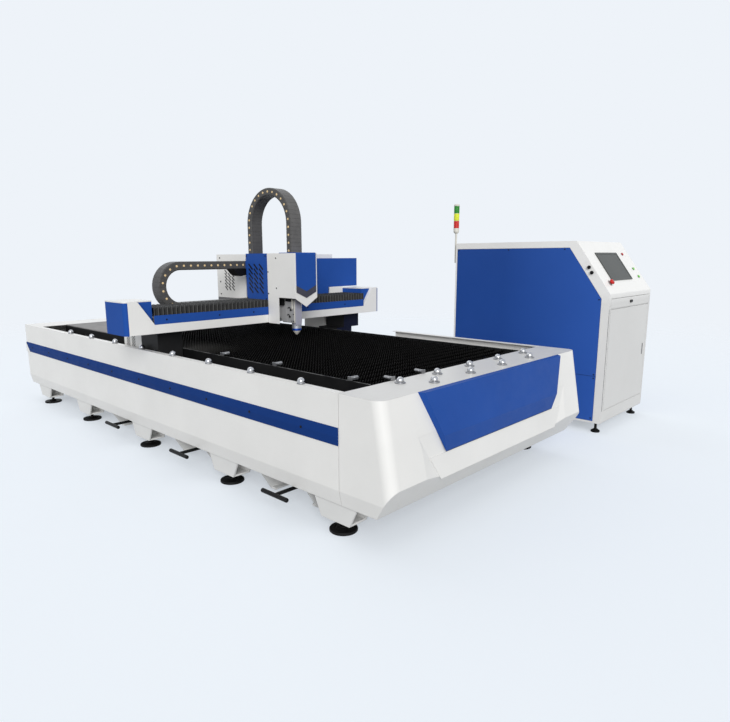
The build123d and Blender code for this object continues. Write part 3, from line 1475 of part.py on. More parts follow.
def panel_bolts():
    """Two thumb bolts that hold the near side panel."""
    return [
        rod_x(CAB_LEFT - BOLT_HEIGHT, CAB_LEFT, CAB_FRONT + back, z, BOLT_RADIUS) for back, z in BOLTS
    ]


def screen():
    """The display in its raised bezel on the console."""
    x = SCREEN_LEFT + SCREEN_WIDTH / 2
    y = (SCREEN_LOW + SCREEN_HIGH) / 2
    tall = SCREEN_HIGH - SCREEN_LOW
    frame = Pos(x, y, SCREEN_RISE / 2) * Box(SCREEN_WIDTH, tall, SCREEN_RISE)
    glass = Pos(x, y, SCREEN_RISE) * Box(SCREEN_WIDTH - 2 * BEZEL, tall - 2 * BEZEL, SCREEN_RISE / 2)
    return console_plane() * (frame - glass)


def push_button(place, radius, rise, waist):
    """A button head on its stem, standing off the console by its travel."""
    u, v = place
    low = SHEET * 2 - BUTTON_HOLE
    return console_plane() * Pos(u, v, 0) * stacked([
        (BUTTON_STEM, low),
        (BUTTON_STEM, waist),
        (radius, waist),
        (radius, rise),
    ])


def estop():
    return push_button(ESTOP_PLACE, ESTOP_RADIUS, ESTOP_RISE, ESTOP_RISE / 2)


def round_button(place):
    return push_button(place, BUTTON_RADIUS, BUTTON_RISE, BUTTON_RISE / 2)


def keyboard_drawer():
    """The pull-out keyboard tray with its front and oval lock."""
    x0 = CAB_LEFT + DOOR_BORDER + DOOR_GAP
    x1 = CAB_RIGHT - DOOR_BORDER - DOOR_GAP
    y0 = CAB_FRONT
    tray = block(x0, x1, y0, y0 + TRAY_DEPTH, TRAY_LOW - DOOR_GAP + RUNNER_PLAY, TRAY_HIGH)
    skin = TRAY_SKIN
    tray -= block(
        x0 + skin,
        x1 - skin,
        y0 + TRAY_FRONT,
        y0 + TRAY_DEPTH - skin,
        TRAY_LOW + skin,
        TRAY_HIGH,
    )
    x = (x0 + x1) / 2
    z = (TRAY_LOW + TRAY_HIGH) / 2
    oval = SlotOverall(LOCK_LENGTH + LOCK_RADIUS * 2, LOCK_RADIUS * 2)
    return tray + extrude(Pos(x, y0, z) * Rot(90, 0, 0) * oval, amount=LOCK_RISE)


def hinge_place():
    """The upright line that the cabinet's door turns about."""
    inset = DOOR_BORDER + DOOR_GAP + HINGE_INSET
    return CAB_LEFT + inset, CAB_FRONT + HINGE_INSET


def hinge_pins():
    """Pins above and below the door, with a washer under the lower one."""
    x, y = hinge_place()
    high = DOOR_HIGH + HINGE_BITE - HINGE_PLAY
    pins = pin_z(x, y, DOOR_HIGH - DOOR_GAP - DOOR_FLANGE, high, HINGE_RADIUS)
    pins += pin_z(x, y, DOOR_LOW - HINGE_BITE + HINGE_PLAY, DOOR_LOW + DOOR_GAP + DOOR_FLANGE, HINGE_RADIUS)
    return pins + rod_z(x, y, DOOR_LOW + HINGE_PLAY, DOOR_LOW + DOOR_GAP, WASHER_RADIUS)


def cabinet_door():
    """The cabinet's folded sheet door with hinge pins and a dished pull at its free edge."""
    x0 = CAB_LEFT + DOOR_BORDER + DOOR_GAP
    x1 = CAB_RIGHT - DOOR_BORDER - DOOR_GAP
    y0 = CAB_FRONT
    y1 = CAB_FRONT + DOOR_THICKNESS - DOOR_GAP
    z0 = DOOR_LOW + DOOR_GAP
    z1 = DOOR_HIGH - DOOR_GAP
    skin = DOOR_SKIN
    door = block(x0, x1, y0, y1, z0, z1)
    pocket = PULL_DEPTH + skin
    hollow = block(x0 + skin, x1 - skin, y0 + skin, y1, z0 + skin, z1 - skin)
    pull_x = x1 - PULL_INSET
    half = PULL_HEIGHT / 2
    box = block(pull_x - PULL_WIDTH, pull_x, y0, y0 + pocket, PULL_Z - half, PULL_Z + half)
    dish = block(
        pull_x - PULL_WIDTH + skin,
        pull_x - skin,
        y0,
        y0 + PULL_DEPTH,
        PULL_Z - PULL_HEIGHT / 2 + skin,
        PULL_Z + PULL_HEIGHT / 2 - skin,
    )
    return (door - hollow) + box - dish + hinge_pins()


def cabinet_feet():
    feet = []
    for x in (CAB_LEFT + CAB_FOOT_INSET, CAB_RIGHT - CAB_FOOT_INSET):
        for y in (CAB_FRONT + CAB_FOOT_INSET, CAB_BACK - CAB_FOOT_INSET):
            feet.append(levelling_foot(x, y, CAB_PAD_RADIUS, CAB_PAD_HEIGHT, CAB_STUD_RADIUS, CAB_LOW))
    return feet


def signal_tower():
    """Three stacked lamps on a pole that is clamped to the cabinet's back."""
    x = CAB_LEFT + TOWER_INSET
    y = CAB_BACK + TOWER_OFFSET
    low = CAB_TOP - TOWER_CLAMP * 3
    tower = rod_z(x, y, low, TOWER_BASE_Z, POLE_RADIUS)
    clamp_low = CAB_TOP - TOWER_CLAMP * 2
    tower += block(
        x - POLE_RADIUS, x + POLE_RADIUS, CAB_BACK, y, clamp_low, clamp_low + TOWER_CLAMP
    )
    top = TOWER_BASE_Z + LAMP_HEIGHT * (LAMP_COUNT + 1)
    return tower + rod_z(x, y, TOWER_BASE_Z, top, LAMP_RADIUS)


def pieces():
    """Every sub-part by its name."""
    pinion = y_pinion()
    named = {
        "bed_frame": bed_frame(),
        "levelling_feet": levelling_feet(),
        "side_cover_left": side_cover_left(),
        "side_cover_right": side_cover_right(),
        "side_stripes": side_stripes(),
        "front_cover": front_cover(),
        "front_centre_panel": front_centre_panel(),
        "front_badge": front_badge(),
        "rear_cover": rear_cover(),
        "trough_walls": trough_walls(),
        "y_rails": y_rails(),
        "y_racks": y_racks(),
        "slat_combs": slat_combs(),
        "slats": slats(),
        "rear_deck": rear_deck(),
        "ball_transfers": ball_transfers(),
        "stop_pins": stop_pins(),
        "gantry_beam": gantry_beam(),
        "gantry_saddles": gantry_saddles(),
        "gantry_end_covers": gantry_end_covers(),
        "gantry_end_liners": gantry_end_liners(),
        "beam_fascia_white": beam_fascia(BEAM_BOTTOM, BEAM_BOTTOM + FASCIA_WHITE),
        "beam_fascia_blue": beam_fascia(BEAM_BOTTOM + FASCIA_WHITE, FASCIA_TOP),
        "x_rails": x_rails(),
        "bellows_left": bellows_left(),
        "bellows_right": bellows_right(),
        "y_motor_covers": y_motor_covers(),
        "y_pinion_left": pinion,
        "y_pinion_right": mirrored(pinion),
        "rear_box": rear_box(),
        "rear_box_cover": rear_box_cover(),
        "x_chain_lower": x_chain_lower(),
        "x_chain_bend": x_chain_bend(),
        "x_chain_upper": x_chain_upper(),
        "carriage_saddle": carriage_saddle(),
        "vent_cover": vent_cover(),
        "head_cover": head_cover(),
        "head_badge": head_badge(),
        "head_chevron": head_chevron(),
        "z_chain": z_chain(),
        "z_screw": z_screw(),
        "z_plate": z_plate(),
        "cutting_head": cutting_head(),
        "head_ring": head_ring(),
        "nozzle": nozzle(),
        "cabinet_shell": cabinet_shell(),
        "side_panels": side_panels(),
        "panel_bolts": panel_bolts(),
        "screen": screen(),
        "keyboard_drawer": keyboard_drawer(),
        "cabinet_door": cabinet_door(),
        "cabinet_feet": cabinet_feet(),
        "signal_tower": signal_tower(),
        "estop": estop(),
        "button_red": round_button(RED_PLACE),
    }
    for i, along in enumerate(DRAWER_FROM_SEAM, 1):
        named[f"scrap_drawer_{i}"] = scrap_drawer(along)
    for i, place in enumerate(GREEN_PLACES, 1):
        named[f"button_green_{i}"] = round_button(place)
    return named


def main():
    os.makedirs("parts", exist_ok=True)
    for name, shape in pieces().items():
        solids = shape if isinstance(shape, list) else [shape]
        flat = [solid for piece in solids for solid in piece.solids()]
        export_step(flat[0] if len(flat) == 1 else Compound(children=flat), f"parts/{name}.step")


if __name__ == "__main__":
    main()
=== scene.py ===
"""Looks for the open-bed fiber laser cutting machine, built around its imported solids."""
import math
import random

import bmesh
import bpy
from mathutils import Matrix, Vector

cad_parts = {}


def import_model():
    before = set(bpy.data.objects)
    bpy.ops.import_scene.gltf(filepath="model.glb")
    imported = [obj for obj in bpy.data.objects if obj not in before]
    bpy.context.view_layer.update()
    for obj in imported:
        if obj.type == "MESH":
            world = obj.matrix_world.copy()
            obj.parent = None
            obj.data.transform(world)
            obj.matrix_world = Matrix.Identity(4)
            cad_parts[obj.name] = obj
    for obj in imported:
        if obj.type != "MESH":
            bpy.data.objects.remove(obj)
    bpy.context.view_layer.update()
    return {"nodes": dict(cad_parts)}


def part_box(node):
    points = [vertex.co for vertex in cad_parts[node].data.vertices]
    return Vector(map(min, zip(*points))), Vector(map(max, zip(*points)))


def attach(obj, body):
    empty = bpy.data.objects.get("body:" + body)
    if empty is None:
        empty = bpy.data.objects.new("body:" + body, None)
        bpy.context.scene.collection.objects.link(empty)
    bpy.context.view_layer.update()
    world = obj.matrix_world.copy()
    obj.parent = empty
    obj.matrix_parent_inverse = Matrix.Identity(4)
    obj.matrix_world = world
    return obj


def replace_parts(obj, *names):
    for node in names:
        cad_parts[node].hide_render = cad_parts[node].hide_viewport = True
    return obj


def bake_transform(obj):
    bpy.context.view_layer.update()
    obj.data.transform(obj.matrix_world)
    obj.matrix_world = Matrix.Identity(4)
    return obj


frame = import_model()
nodes = frame["nodes"]


def lo(node):
    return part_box(node)[0]


def hi(node):
    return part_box(node)[1]


def mid(node):
    return (lo(node) + hi(node)) / 2


# Places that several pieces share, in metres. SEAM is the joint of the front and side covers.
BED_LEFT = lo("side_cover_left").x
SEAM = lo("side_cover_left").y - 0.003
BED_TOP = hi("side_cover_left").z
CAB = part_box("cabinet_shell")
CONSOLE_LOW = 1.151


# Materials

NOISE_ROUGHNESS = 0.55


class Mat:
    """A principled material with its node tree at hand."""

    def __init__(self, name, rough, metal=0.0, spec=0.5):
        self.mat = bpy.data.materials.new(name)
        self.mat.use_nodes = True
        self.tree = self.mat.node_tree
        self.nodes = self.tree.nodes
        self.bsdf = self.nodes["Principled BSDF"]
        self.bsdf.inputs["Roughness"].default_value = rough
        self.bsdf.inputs["Metallic"].default_value = metal
        self.bsdf.inputs["Specular IOR Level"].default_value = spec
        self.coord = self.add("ShaderNodeTexCoord").outputs["Object"]

    def add(self, kind, **values):
        node = self.nodes.new(kind)
        for key, value in values.items():
            setattr(node, key, value)
        return node

    def link(self, a, b):
        self.tree.links.new(a, b)

    def noise(self, scale, detail, stretch=None):
        node = self.add("ShaderNodeTexNoise")
        node.inputs["Scale"].default_value = scale
        node.inputs["Detail"].default_value = detail
        node.inputs["Roughness"].default_value = NOISE_ROUGHNESS
        if stretch:
            mapping = self.add("ShaderNodeMapping")
            mapping.inputs["Scale"].default_value = stretch
            self.link(self.coord, mapping.inputs["Vector"])
            self.link(mapping.outputs["Vector"], node.inputs["Vector"])
        else:
            self.link(self.coord, node.inputs["Vector"])
        return node.outputs["Fac"]

    def ramp(self, fac, low, high, start=0.3, end=0.7):
        """A colour that runs from low to high while fac runs from start to end."""
        node = self.add("ShaderNodeValToRGB")
        for element, place, colour in zip(node.color_ramp.elements, (start, end), (low, high)):
            element.position, element.color = place, (*colour, 1.0)
        self.link(fac, node.inputs["Fac"])
        return node.outputs["Color"]

    def remap(self, fac, low, high, start=0.3, end=0.7):
        """A number that runs from low to high while fac runs from start to end."""
        node = self.add("ShaderNodeMapRange")
        node.inputs["From Min"].default_value = start
        node.inputs["From Max"].default_value = end
        node.inputs["To Min"].default_value = low
        node.inputs["To Max"].default_value = high
        self.link(fac, node.inputs["Value"])
        return node.outputs["Result"]

    def axis(self, which):
        node = self.add("ShaderNodeSeparateXYZ")
        self.link(self.coord, node.inputs["Vector"])
        return node.outputs[which]

    def mix(self, fac, a, b, mode="MIX"):
        node = self.add("ShaderNodeMix", data_type="RGBA", blend_type=mode)
        for socket, value in ((node.inputs[0], fac), (node.inputs[6], a), (node.inputs[7], b)):
            if isinstance(value, tuple):
                socket.default_value = (*value, 1.0)
            elif isinstance(value, float):
                socket.default_value = value
            else:
                self.link(value, socket)
        return node.outputs[2]

    def math(self, operation, a, b):
        node = self.add("ShaderNodeMath", operation=operation)
        for socket, value in zip(node.inputs, (a, b)):
            if isinstance(value, (int, float)):
                socket.default_value = value
            else:
                self.link(value, socket)
        return node.outputs[0]

    def colour(self, socket):
        self.link(socket, self.bsdf.inputs["Base Color"])

    def roughness(self, socket):
        self.link(socket, self.bsdf.inputs["Roughness"])

    def bump(self, height, strength, distance, edge=0.0):
        """Surface relief, with edges softened by a small radius."""
        node = self.add("ShaderNodeBump")
        node.inputs["Strength"].default_value = strength
        node.inputs["Distance"].default_value = distance
        self.link(height, node.inputs["Height"])
        if edge:
            soft = self.add("ShaderNodeBevel", samples=4)
            soft.inputs["Radius"].default_value = edge
            self.link(soft.outputs["Normal"], node.inputs["Normal"])
        self.link(node.outputs["Normal"], self.bsdf.inputs["Normal"])

    def cloud(self):
        """The faint broad cloudiness of a coat."""
        return self.noise(2.3, 4.0)

    def peel(self, edge=0.004):
        """The fine orange peel of a powder coat."""
        self.bump(self.noise(650.0, 2.0), 0.10, 0.0006, edge)


def shade(colour, factor):
    """A colour made darker or paler."""
    return tuple(min(1.0, c * factor) for c in colour)


def paint(name, colour, rough=0.38, edge=0.004, grime=0.03, spec=0.4):
    """Powder coat: fine orange peel, faint cloudiness and sparse specks."""
    m = Mat(name, rough, spec=spec)
    cloud = m.cloud()
    base = m.ramp(cloud, shade(colour, 1 - grime), shade(colour, 1 + grime))
    speck = m.ramp(m.noise(420.0, 1.0), shade(colour, 0.86), (1, 1, 1), 0.36, 0.44)
    m.colour(m.mix(0.10, base, m.mix(1.0, base, speck, "MULTIPLY")))
    m.roughness(m.remap(m.noise(14.0, 3.0), rough - 0.05, rough + 0.07))
    m.peel(edge)
    return m.mat


OFF_WHITE = (0.82, 0.812, 0.79)
DEEP_BLUE = (0.018, 0.077, 0.340)
WHITE = paint("white_coat", OFF_WHITE, 0.36)
BLUE = paint("blue_coat", DEEP_BLUE, 0.45, grime=0.05, spec=0.09)
WHITE_PLATE = paint("white_plate", OFF_WHITE, 0.36, edge=0.0)
BLUE_PLATE = paint("blue_plate", DEEP_BLUE, 0.45, edge=0.0, grime=0.05, spec=0.09)
STRIPE = paint("band_coat", (0.009, 0.041, 0.190), 0.55, grime=0.05, spec=0.04)
DECK = paint("deck_coat", (0.22, 0.21, 0.205), 0.55, edge=0.003, grime=0.06, spec=0.2)
GREY = paint("grey_coat", (0.15, 0.15, 0.155), 0.5, edge=0.003, grime=0.06, spec=0.3)


TROUGH_LOW = 0.25


def frame_paint():
    """The welded frame: pale below the covers, black inside the rail troughs."""
    m = Mat("frame_coat", 0.5, spec=0.2)
    high = m.math("GREATER_THAN", m.axis("Z"), TROUGH_LOW)
    pale = m.ramp(m.noise(3.0, 4.0), (0.70, 0.70, 0.69), (0.77, 0.77, 0.755))
    dark = m.ramp(m.noise(9.0, 4.0), (0.005, 0.005, 0.0055), (0.011, 0.011, 0.0115))
    m.colour(m.mix(high, pale, dark))
    m.bump(m.noise(500.0, 2.0), 0.12, 0.0006, 0.003)
    return m.mat


def panel_paint():
    """The cabinet's blue side, with painted light making it paler towards the front."""
    m = Mat("panel_coat", 0.42, spec=0.14)
    # Painted light: the blue turns paler towards the front.
    along = m.remap(m.axis("Y"), 1.0, 0.0, CAB[0].y, CAB[0].y + 0.95)
    base = m.mix(along, (0.0165, 0.068, 0.300), (0.031, 0.110, 0.455))
    cloud = m.ramp(m.cloud(), (0.95, 0.95, 0.95), (1, 1, 1))
    m.colour(m.mix(1.0, base, cloud, "MULTIPLY"))
    m.peel()
    return m.mat


def cabinet_paint():
    """The cabinet's white, with painted shade on its upright front and painted light round the console."""
    m = Mat("cabinet_coat", 0.40, spec=0.35)
    # Painted shade: the upright front faces of shell, drawer and door are a greyer white.
    face = m.math("LESS_THAN", m.axis("Y"), CAB[0].y + 0.0012)
    cloud = m.cloud()
    pale = m.ramp(cloud, (0.80, 0.792, 0.772), (0.84, 0.832, 0.81))
    grey = m.ramp(cloud, (0.665, 0.66, 0.645), (0.70, 0.695, 0.68))
    # Painted light: a brighter white round the console slope.
    rise = m.remap(m.axis("Z"), 0.0, 1.0, CONSOLE_LOW - 0.08, CONSOLE_LOW + 0.01)
    near = m.remap(m.axis("Y"), 1.0, 0.0, CAB[0].y + 0.30, CAB[0].y + 0.90)
    console = m.math("MULTIPLY", rise, near)
    bright = m.ramp(cloud, (0.87, 0.865, 0.845), (0.91, 0.905, 0.885))
    m.colour(m.mix(console, m.mix(face, pale, grey), bright))
    m.peel()
    return m.mat


def front_paint():
    """The front cover's white, with painted shade on its flat top."""
    m = Mat("front_coat", 0.38, spec=0.4)
    # Painted shade: the flat top is a greyer white.
    top = m.math("GREATER_THAN", m.axis("Z"), hi("front_cover").z - 0.0015)
    cloud = m.cloud()
    pale = m.ramp(cloud, (0.795, 0.788, 0.766), (0.845, 0.836, 0.814))
    grey = m.ramp(cloud, (0.675, 0.67, 0.655), (0.715, 0.71, 0.695))
    m.colour(m.mix(top, pale, grey))
    m.roughness(m.remap(m.noise(14.0, 3.0), 0.31, 0.43))
    m.peel()
    return m.mat


def liner_paint():
    """Gantry end liners: blue, with the far end's outer face in white."""
    m = Mat("liner_coat", 0.5, spec=0.04)
    face = m.math("GREATER_THAN", m.axis("X"), hi("gantry_end_liners").x - 0.003)
    blue = m.ramp(m.cloud(), (0.0165, 0.072, 0.320), (0.019, 0.080, 0.350))
    m.colour(m.mix(face, blue, (0.80, 0.79, 0.77)))
    m.peel()
    return m.mat


def trough_paint():
    """Trough walls: black, rubbed to grey steel in places along the top edge."""
    m = Mat("trough_coat", 0.5, spec=0.12)
    edge = m.math("GREATER_THAN", m.axis("Z"), hi("trough_walls").z - 0.0015)
    rubbed = m.ramp(m.noise(14.0, 4.0), (0.016, 0.016, 0.016), (0.15, 0.15, 0.148), 0.42, 0.58)
    black = m.ramp(m.noise(6.0, 4.0), (0.006, 0.006, 0.0063), (0.010, 0.010, 0.0103))
    m.colour(m.mix(edge, black, rubbed))
    m.bump(m.noise(450.0, 2.0), 0.12, 0.0006, 0.002)
    return m.mat


def metal(name, colour, rough, stretch, var=0.12):
    """Machined or ground metal with drawn-out tool marks."""
    m = Mat(name, rough, 1.0)
    streak = m.noise(60.0, 4.0, stretch)
    m.colour(m.ramp(streak, shade(colour, 1 - var), shade(colour, 1 + var)))
    m.roughness(m.remap(streak, rough - 0.06, rough + 0.1))
    m.bump(streak, 0.12, 0.0003, 0.0015)
    return m.mat


STEEL = metal("ground_steel", (0.52, 0.52, 0.53), 0.3, (1, 30, 30))
ALU = metal("satin_aluminium", (0.66, 0.67, 0.70), 0.34, (20, 20, 1))
CHROME = metal("polished_steel", (0.50, 0.50, 0.51), 0.16, (1, 1, 1), 0.04)
RING = metal("blue_anodised", (0.03, 0.12, 0.62), 0.3, (1, 1, 30))


def slat_steel():
    """Slats: dark scale with burnt tips, with painted light making them paler at the near end behind the
    gantry.
    """
    m = Mat("burnt_slat_and_painted_light", 0.8, spec=0.0)
    scale = m.ramp(m.noise(7.0, 6.0), (0.0010, 0.0010, 0.0011), (0.0026, 0.0026, 0.0027))
    tip = m.remap(m.axis("Z"), 0.0, 1.0, BED_TOP - 0.018, BED_TOP - 0.006)
    burnt = m.ramp(m.noise(90.0, 4.0), (0.004, 0.004, 0.004), (0.020, 0.019, 0.018), 0.4, 0.7)
    # Painted light: the slats turn a paler grey towards their near end behind the gantry.
    end = m.remap(m.axis("X"), 1.0, 0.0, lo("slats").x, lo("slats").x + 0.40)
    rear = m.remap(m.axis("Y"), 0.0, 1.0, -0.55, -0.10)
    m.colour(m.mix(m.math("MULTIPLY", end, rear), m.mix(tip, scale, burnt), (0.075, 0.073, 0.070)))
    m.bump(m.noise(160.0, 4.0), 0.25, 0.001)
    return m.mat


def moulded(name, colour, rough, spec=0.3):
    """Moulded plastic or rubber with a fine grain."""
    m = Mat(name, rough, spec=spec)
    fac = m.noise(18.0, 4.0)
    m.colour(m.ramp(fac, shade(colour, 0.88), shade(colour, 1.1)))
    m.roughness(m.remap(fac, rough - 0.06, rough + 0.06))
    m.bump(m.noise(420.0, 2.0), 0.18, 0.0005, 0.002)
    return m.mat


CHAIN = moulded("chain_polymer", (0.080, 0.078, 0.077), 0.5, spec=0.2)
# Painted highlight: a paler copy of the chain polymer for the vertical chain's outer face, where the light
# falls.
CHAIN_LIT_FACE = moulded("chain_painted_highlight", (0.125, 0.122, 0.120), 0.5, spec=0.2)
FOOT = moulded("black_rubber", (0.005, 0.005, 0.005), 0.55, spec=0.15)
SCREW = moulded("black_screw", (0.006, 0.006, 0.0065), 0.45, spec=0.15)
RED = moulded("red_plastic", (0.52, 0.012, 0.010), 0.3)
GREEN = moulded("green_plastic", (0.20, 0.62, 0.10), 0.35)
BEZEL = moulded("bezel_grey", (0.42, 0.42, 0.41), 0.35)
IVORY = moulded("ivory_plastic", (0.66, 0.64, 0.58), 0.4)
BRASS = moulded("pin_brass", (0.78, 0.58, 0.31), 0.4)
SLAT = slat_steel()
SLAT_EDGE = moulded("slat_cut_edge", (0.010, 0.0095, 0.009), 0.5, spec=0.12)
ZINC = metal("zinc_plate", (0.30, 0.30, 0.31), 0.4, (1, 1, 1), 0.08)
DARK_STEEL = metal("oiled_steel", (0.30, 0.30, 0.305), 0.38, (1, 1, 1), 0.1)
CHEVRON = moulded("chevron_grey", (0.055, 0.055, 0.075), 0.45)
NOZZLE = moulded("nozzle_pale", (0.62, 0.60, 0.56), 0.35)
LAMP_RED = moulded("red_lens", (0.60, 0.026, 0.022), 0.22)
LAMP_YELLOW = moulded("yellow_lens", (0.70, 0.76, 0.045), 0.22)
LAMP_GREEN = moulded("green_lens", (0.026, 0.24, 0.028), 0.22)
TRAY = paint("tray_coat", (0.32, 0.32, 0.315), 0.45, edge=0.003, grime=0.08, spec=0.3)


def bellows_cloth(name, colour):
    """Coated fabric with a fine weave."""
    m = Mat(name, 0.62, spec=0.2)
    m.colour(m.ramp(m.noise(25.0, 4.0), shade(colour, 0.8), shade(colour, 1.2)))
    m.bump(m.noise(900.0, 1.0, (1, 1, 3)), 0.2, 0.0004)
    return m.mat


FAR_LEG = 1.75


def leg_paint():
    """Saddles: black, with the far leg's front face a blue darkened to navy as painted shade."""
    m = Mat("saddle_coat", 0.5, spec=0.12)
    black = m.ramp(m.noise(5.0, 4.0), (0.009, 0.009, 0.0095), (0.016, 0.016, 0.0165))
    # Painted shade: the far leg's front face is a blue darkened to navy.
    right = m.math("GREATER_THAN", m.axis("X"), lo("y_motor_covers").x + FAR_LEG)
    face = m.math("LESS_THAN", m.axis("Y"), lo("gantry_saddles").y + 0.002)
    m.colour(m.mix(m.math("MULTIPLY", right, face), black, (0.0045, 0.0065, 0.022)))
    m.bump(m.noise(450.0, 2.0), 0.12, 0.0006, 0.003)
    return m.mat


def screen_glass():
    """Unlit display: dark grey glass."""
    m = Mat("display_glass", 0.3, spec=0.12)
    m.colour(m.ramp(m.noise(3.0, 2.0), (0.062, 0.066, 0.061), (0.076, 0.080, 0.074)))
    m.bump(m.noise(300.0, 1.0), 0.03, 0.0002)
    return m.mat


BELLOWS = bellows_cloth("coated_fabric", (0.090, 0.090, 0.088))
# A darker copy of the bellows cloth: painted shade for the slopes and valleys of the folds.
FOLD_SHADE_CLOTH = bellows_cloth("fold_fabric_painted_shade", (0.022, 0.022, 0.022))
PLATE = paint("plate_coat", (0.34, 0.34, 0.345), 0.5, edge=0.002, grime=0.06, spec=0.3)
LAVENDER = paint("block_coat", (0.36, 0.36, 0.43), 0.45, edge=0.004, grime=0.04, spec=0.35)
SCREEN = screen_glass()


def dress(material, *names):
    """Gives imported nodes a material; their meshes stay as they are."""
    for name in names:
        mesh = nodes[name].data
        mesh.materials.clear()
        mesh.materials.append(material)


dress(WHITE, "side_cover_left", "side_cover_right", "front_centre_panel", "rear_cover",
      "gantry_end_covers", "beam_fascia_white", "y_motor_covers", "head_cover", "rear_box")
dress(front_paint(), "front_cover")
dress(cabinet_paint(), "cabinet_shell", "keyboard_drawer", "cabinet_door")
dress(BLUE, "front_badge", "beam_fascia_blue", "rear_box_cover", "vent_cover", "head_badge")
dress(panel_paint(), "side_panels")
dress(liner_paint(), "gantry_end_liners")
dress(STRIPE, "side_stripes")
dress(trough_paint(), "trough_walls")
dress(CHEVRON, "head_chevron")
dress(frame_paint(), "bed_frame")
dress(GREY, "gantry_beam")
dress(ALU, "carriage_saddle")
dress(PLATE, "z_plate")
dress(leg_paint(), "gantry_saddles")
dress(STEEL, "y_rails", "y_racks", "x_rails", "y_pinion_left", "y_pinion_right", "z_screw")
dress(SLAT, "slat_combs")
dress(DECK, "rear_deck")
dress(SCREEN, "screen")


# Mesh helpers

def piece(name, bm, material, body, smooth=False, bevel=0.0):
    """A new mesh object from bm, riding on a body."""
    bmesh.ops.recalc_face_normals(bm, faces=bm.faces)
    mesh = bpy.data.meshes.new(name)
    bm.to_mesh(mesh)
    bm.free()
    obj = bpy.data.objects.new(name, mesh)
    bpy.context.collection.objects.link(obj)
    for one in material if isinstance(material, (list, tuple)) else [material]:
        mesh.materials.append(one)
    if smooth:
        for face in mesh.polygons:
            face.use_smooth = True
    if bevel:
        modifier = obj.modifiers.new("edges", "BEVEL")
        modifier.width = bevel
        modifier.segments = 2
        modifier.limit_method = "ANGLE"
    if body:
        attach(obj, body)
    return obj


def turn(bm, profile, matrix, segments, index=0):
    """A turned form from (radius, height) points, set in place by matrix."""
    rings = []
    angles = [2 * math.pi * i / segments for i in range(segments)]
    for radius, height in profile:
        ring = [(radius * math.cos(a), radius * math.sin(a), height) for a in (angles if radius else (0.0,))]
        rings.append([bm.verts.new(matrix @ Vector(point)) for point in ring])
    for a, b in zip(rings, rings[1:]):
        for i in range(segments):
            j = (i + 1) % segments
            corners = dict.fromkeys((a[i % len(a)], a[j % len(a)], b[j % len(b)], b[i % len(b)]))
            if len(corners) > 2:
                bm.faces.new(list(corners)).material_index = index


def upright(low, high):
    """The vertical axis through the middle of a box, from the ground."""
    return Matrix.Translation(((low.x + high.x) / 2, (low.y + high.y) / 2, 0))


def loft(bm, rings, index=lambda row, side: 0):
    """Faces between neighbouring rings of points, closed by a face at each end."""
    count = len(rings[0])
    for row, (a, b) in enumerate(zip(rings, rings[1:])):
        for i in range(count):
            j = (i + 1) % count
            bm.faces.new((a[i], a[j], b[j], b[i])).material_index = index(row, i)
    bm.faces.new(rings[0])
    bm.faces.new(rings[-1])


def solid_box(bm, low, high, index=0):
    xs, ys, zs = zip(low, high)
    corners = [bm.verts.new((x, y, z)) for x in xs for y in ys for z in zs]
    for quad in ((0, 1, 3, 2), (4, 6, 7, 5), (0, 4, 5, 1), (2, 3, 7, 6), (0, 2, 6, 4), (1, 5, 7, 3)):
        bm.faces.new([corners[i] for i in quad]).material_index = index


FACING = {
    "-X": Matrix.Rotation(-math.pi / 2, 4, "Y"),
    "+X": Matrix.Rotation(math.pi / 2, 4, "Y"),
    "-Y": Matrix.Rotation(math.pi / 2, 4, "X"),
    "+Y": Matrix.Rotation(-math.pi / 2, 4, "X"),
}


def screws(name, places, facing, body, radius=0.007, height=0.003, material=SCREW):
    """Button-head screws with a driver recess, standing on a face."""
    bm = bmesh.new()
    profile = [
        (0, height * 0.35),
        (radius * 0.45, height * 0.35),
        (radius * 0.5, height),
        (radius * 0.8, height * 0.95),
        (radius, height * 0.5),
        (radius, -0.001),
        (0, -0.001),
    ]
    for place in places:
        turn(bm, profile, Matrix.Translation(place) @ FACING[facing], 16)
    return piece(name, bm, material, body, True)


def shells(node):
    """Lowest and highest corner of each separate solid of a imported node."""
    obj = nodes[node]
    bm = bmesh.new()
    bm.from_mesh(obj.data)
    bmesh.ops.remove_doubles(bm, verts=bm.verts, dist=1e-5)
    seen, boxes = set(), []
    for vert in bm.verts:
        if vert in seen:
            continue
        stack, group = [vert], []
        seen.add(vert)
        while stack:
            v = stack.pop()
            group.append(obj.matrix_world @ v.co)
            for edge in v.link_edges:
                other = edge.other_vert(v)
                if other not in seen:
                    seen.add(other)
                    stack.append(other)
        boxes.append(tuple(Vector([pick(axis) for axis in zip(*group)]) for pick in (min, max)))
    bm.free()
    return sorted(boxes, key=lambda b: tuple(round(c, 4) for c in b[0]))


# Energy chains

LINK_PITCH = 0.061
LINK_SEAM = 0.05
SEAM_DEPTH = 0.0014
CHAIN_EDGE = 0.006
OUTER_FACE = 4
PIN_RADIUS = 0.0088
PIN_RISE = 0.0025
PIN = [(0, PIN_RISE), (PIN_RADIUS * 0.75, PIN_RISE), (PIN_RADIUS, PIN_RISE * 0.5), (PIN_RADIUS, -0.001)]


class Path:
    """A chain's centre line made of straight and half-round runs, measured by arc length."""

    def __init__(self, legs):
        self.legs = legs
        self.length = sum(leg[0] for leg in legs)

    def at(self, s):
        """Centre point and outward normal at arc length s."""
        for length, place in self.legs:
            if s <= length + 1e-9:
                return place(s)
            s -= length
        return self.legs[-1][1](self.legs[-1][0])


def straight(start, end, normal):
    start, end, normal = Vector(start), Vector(end), Vector(normal)
    length = (end - start).length
    return length, lambda s: (start.lerp(end, s / length), normal)


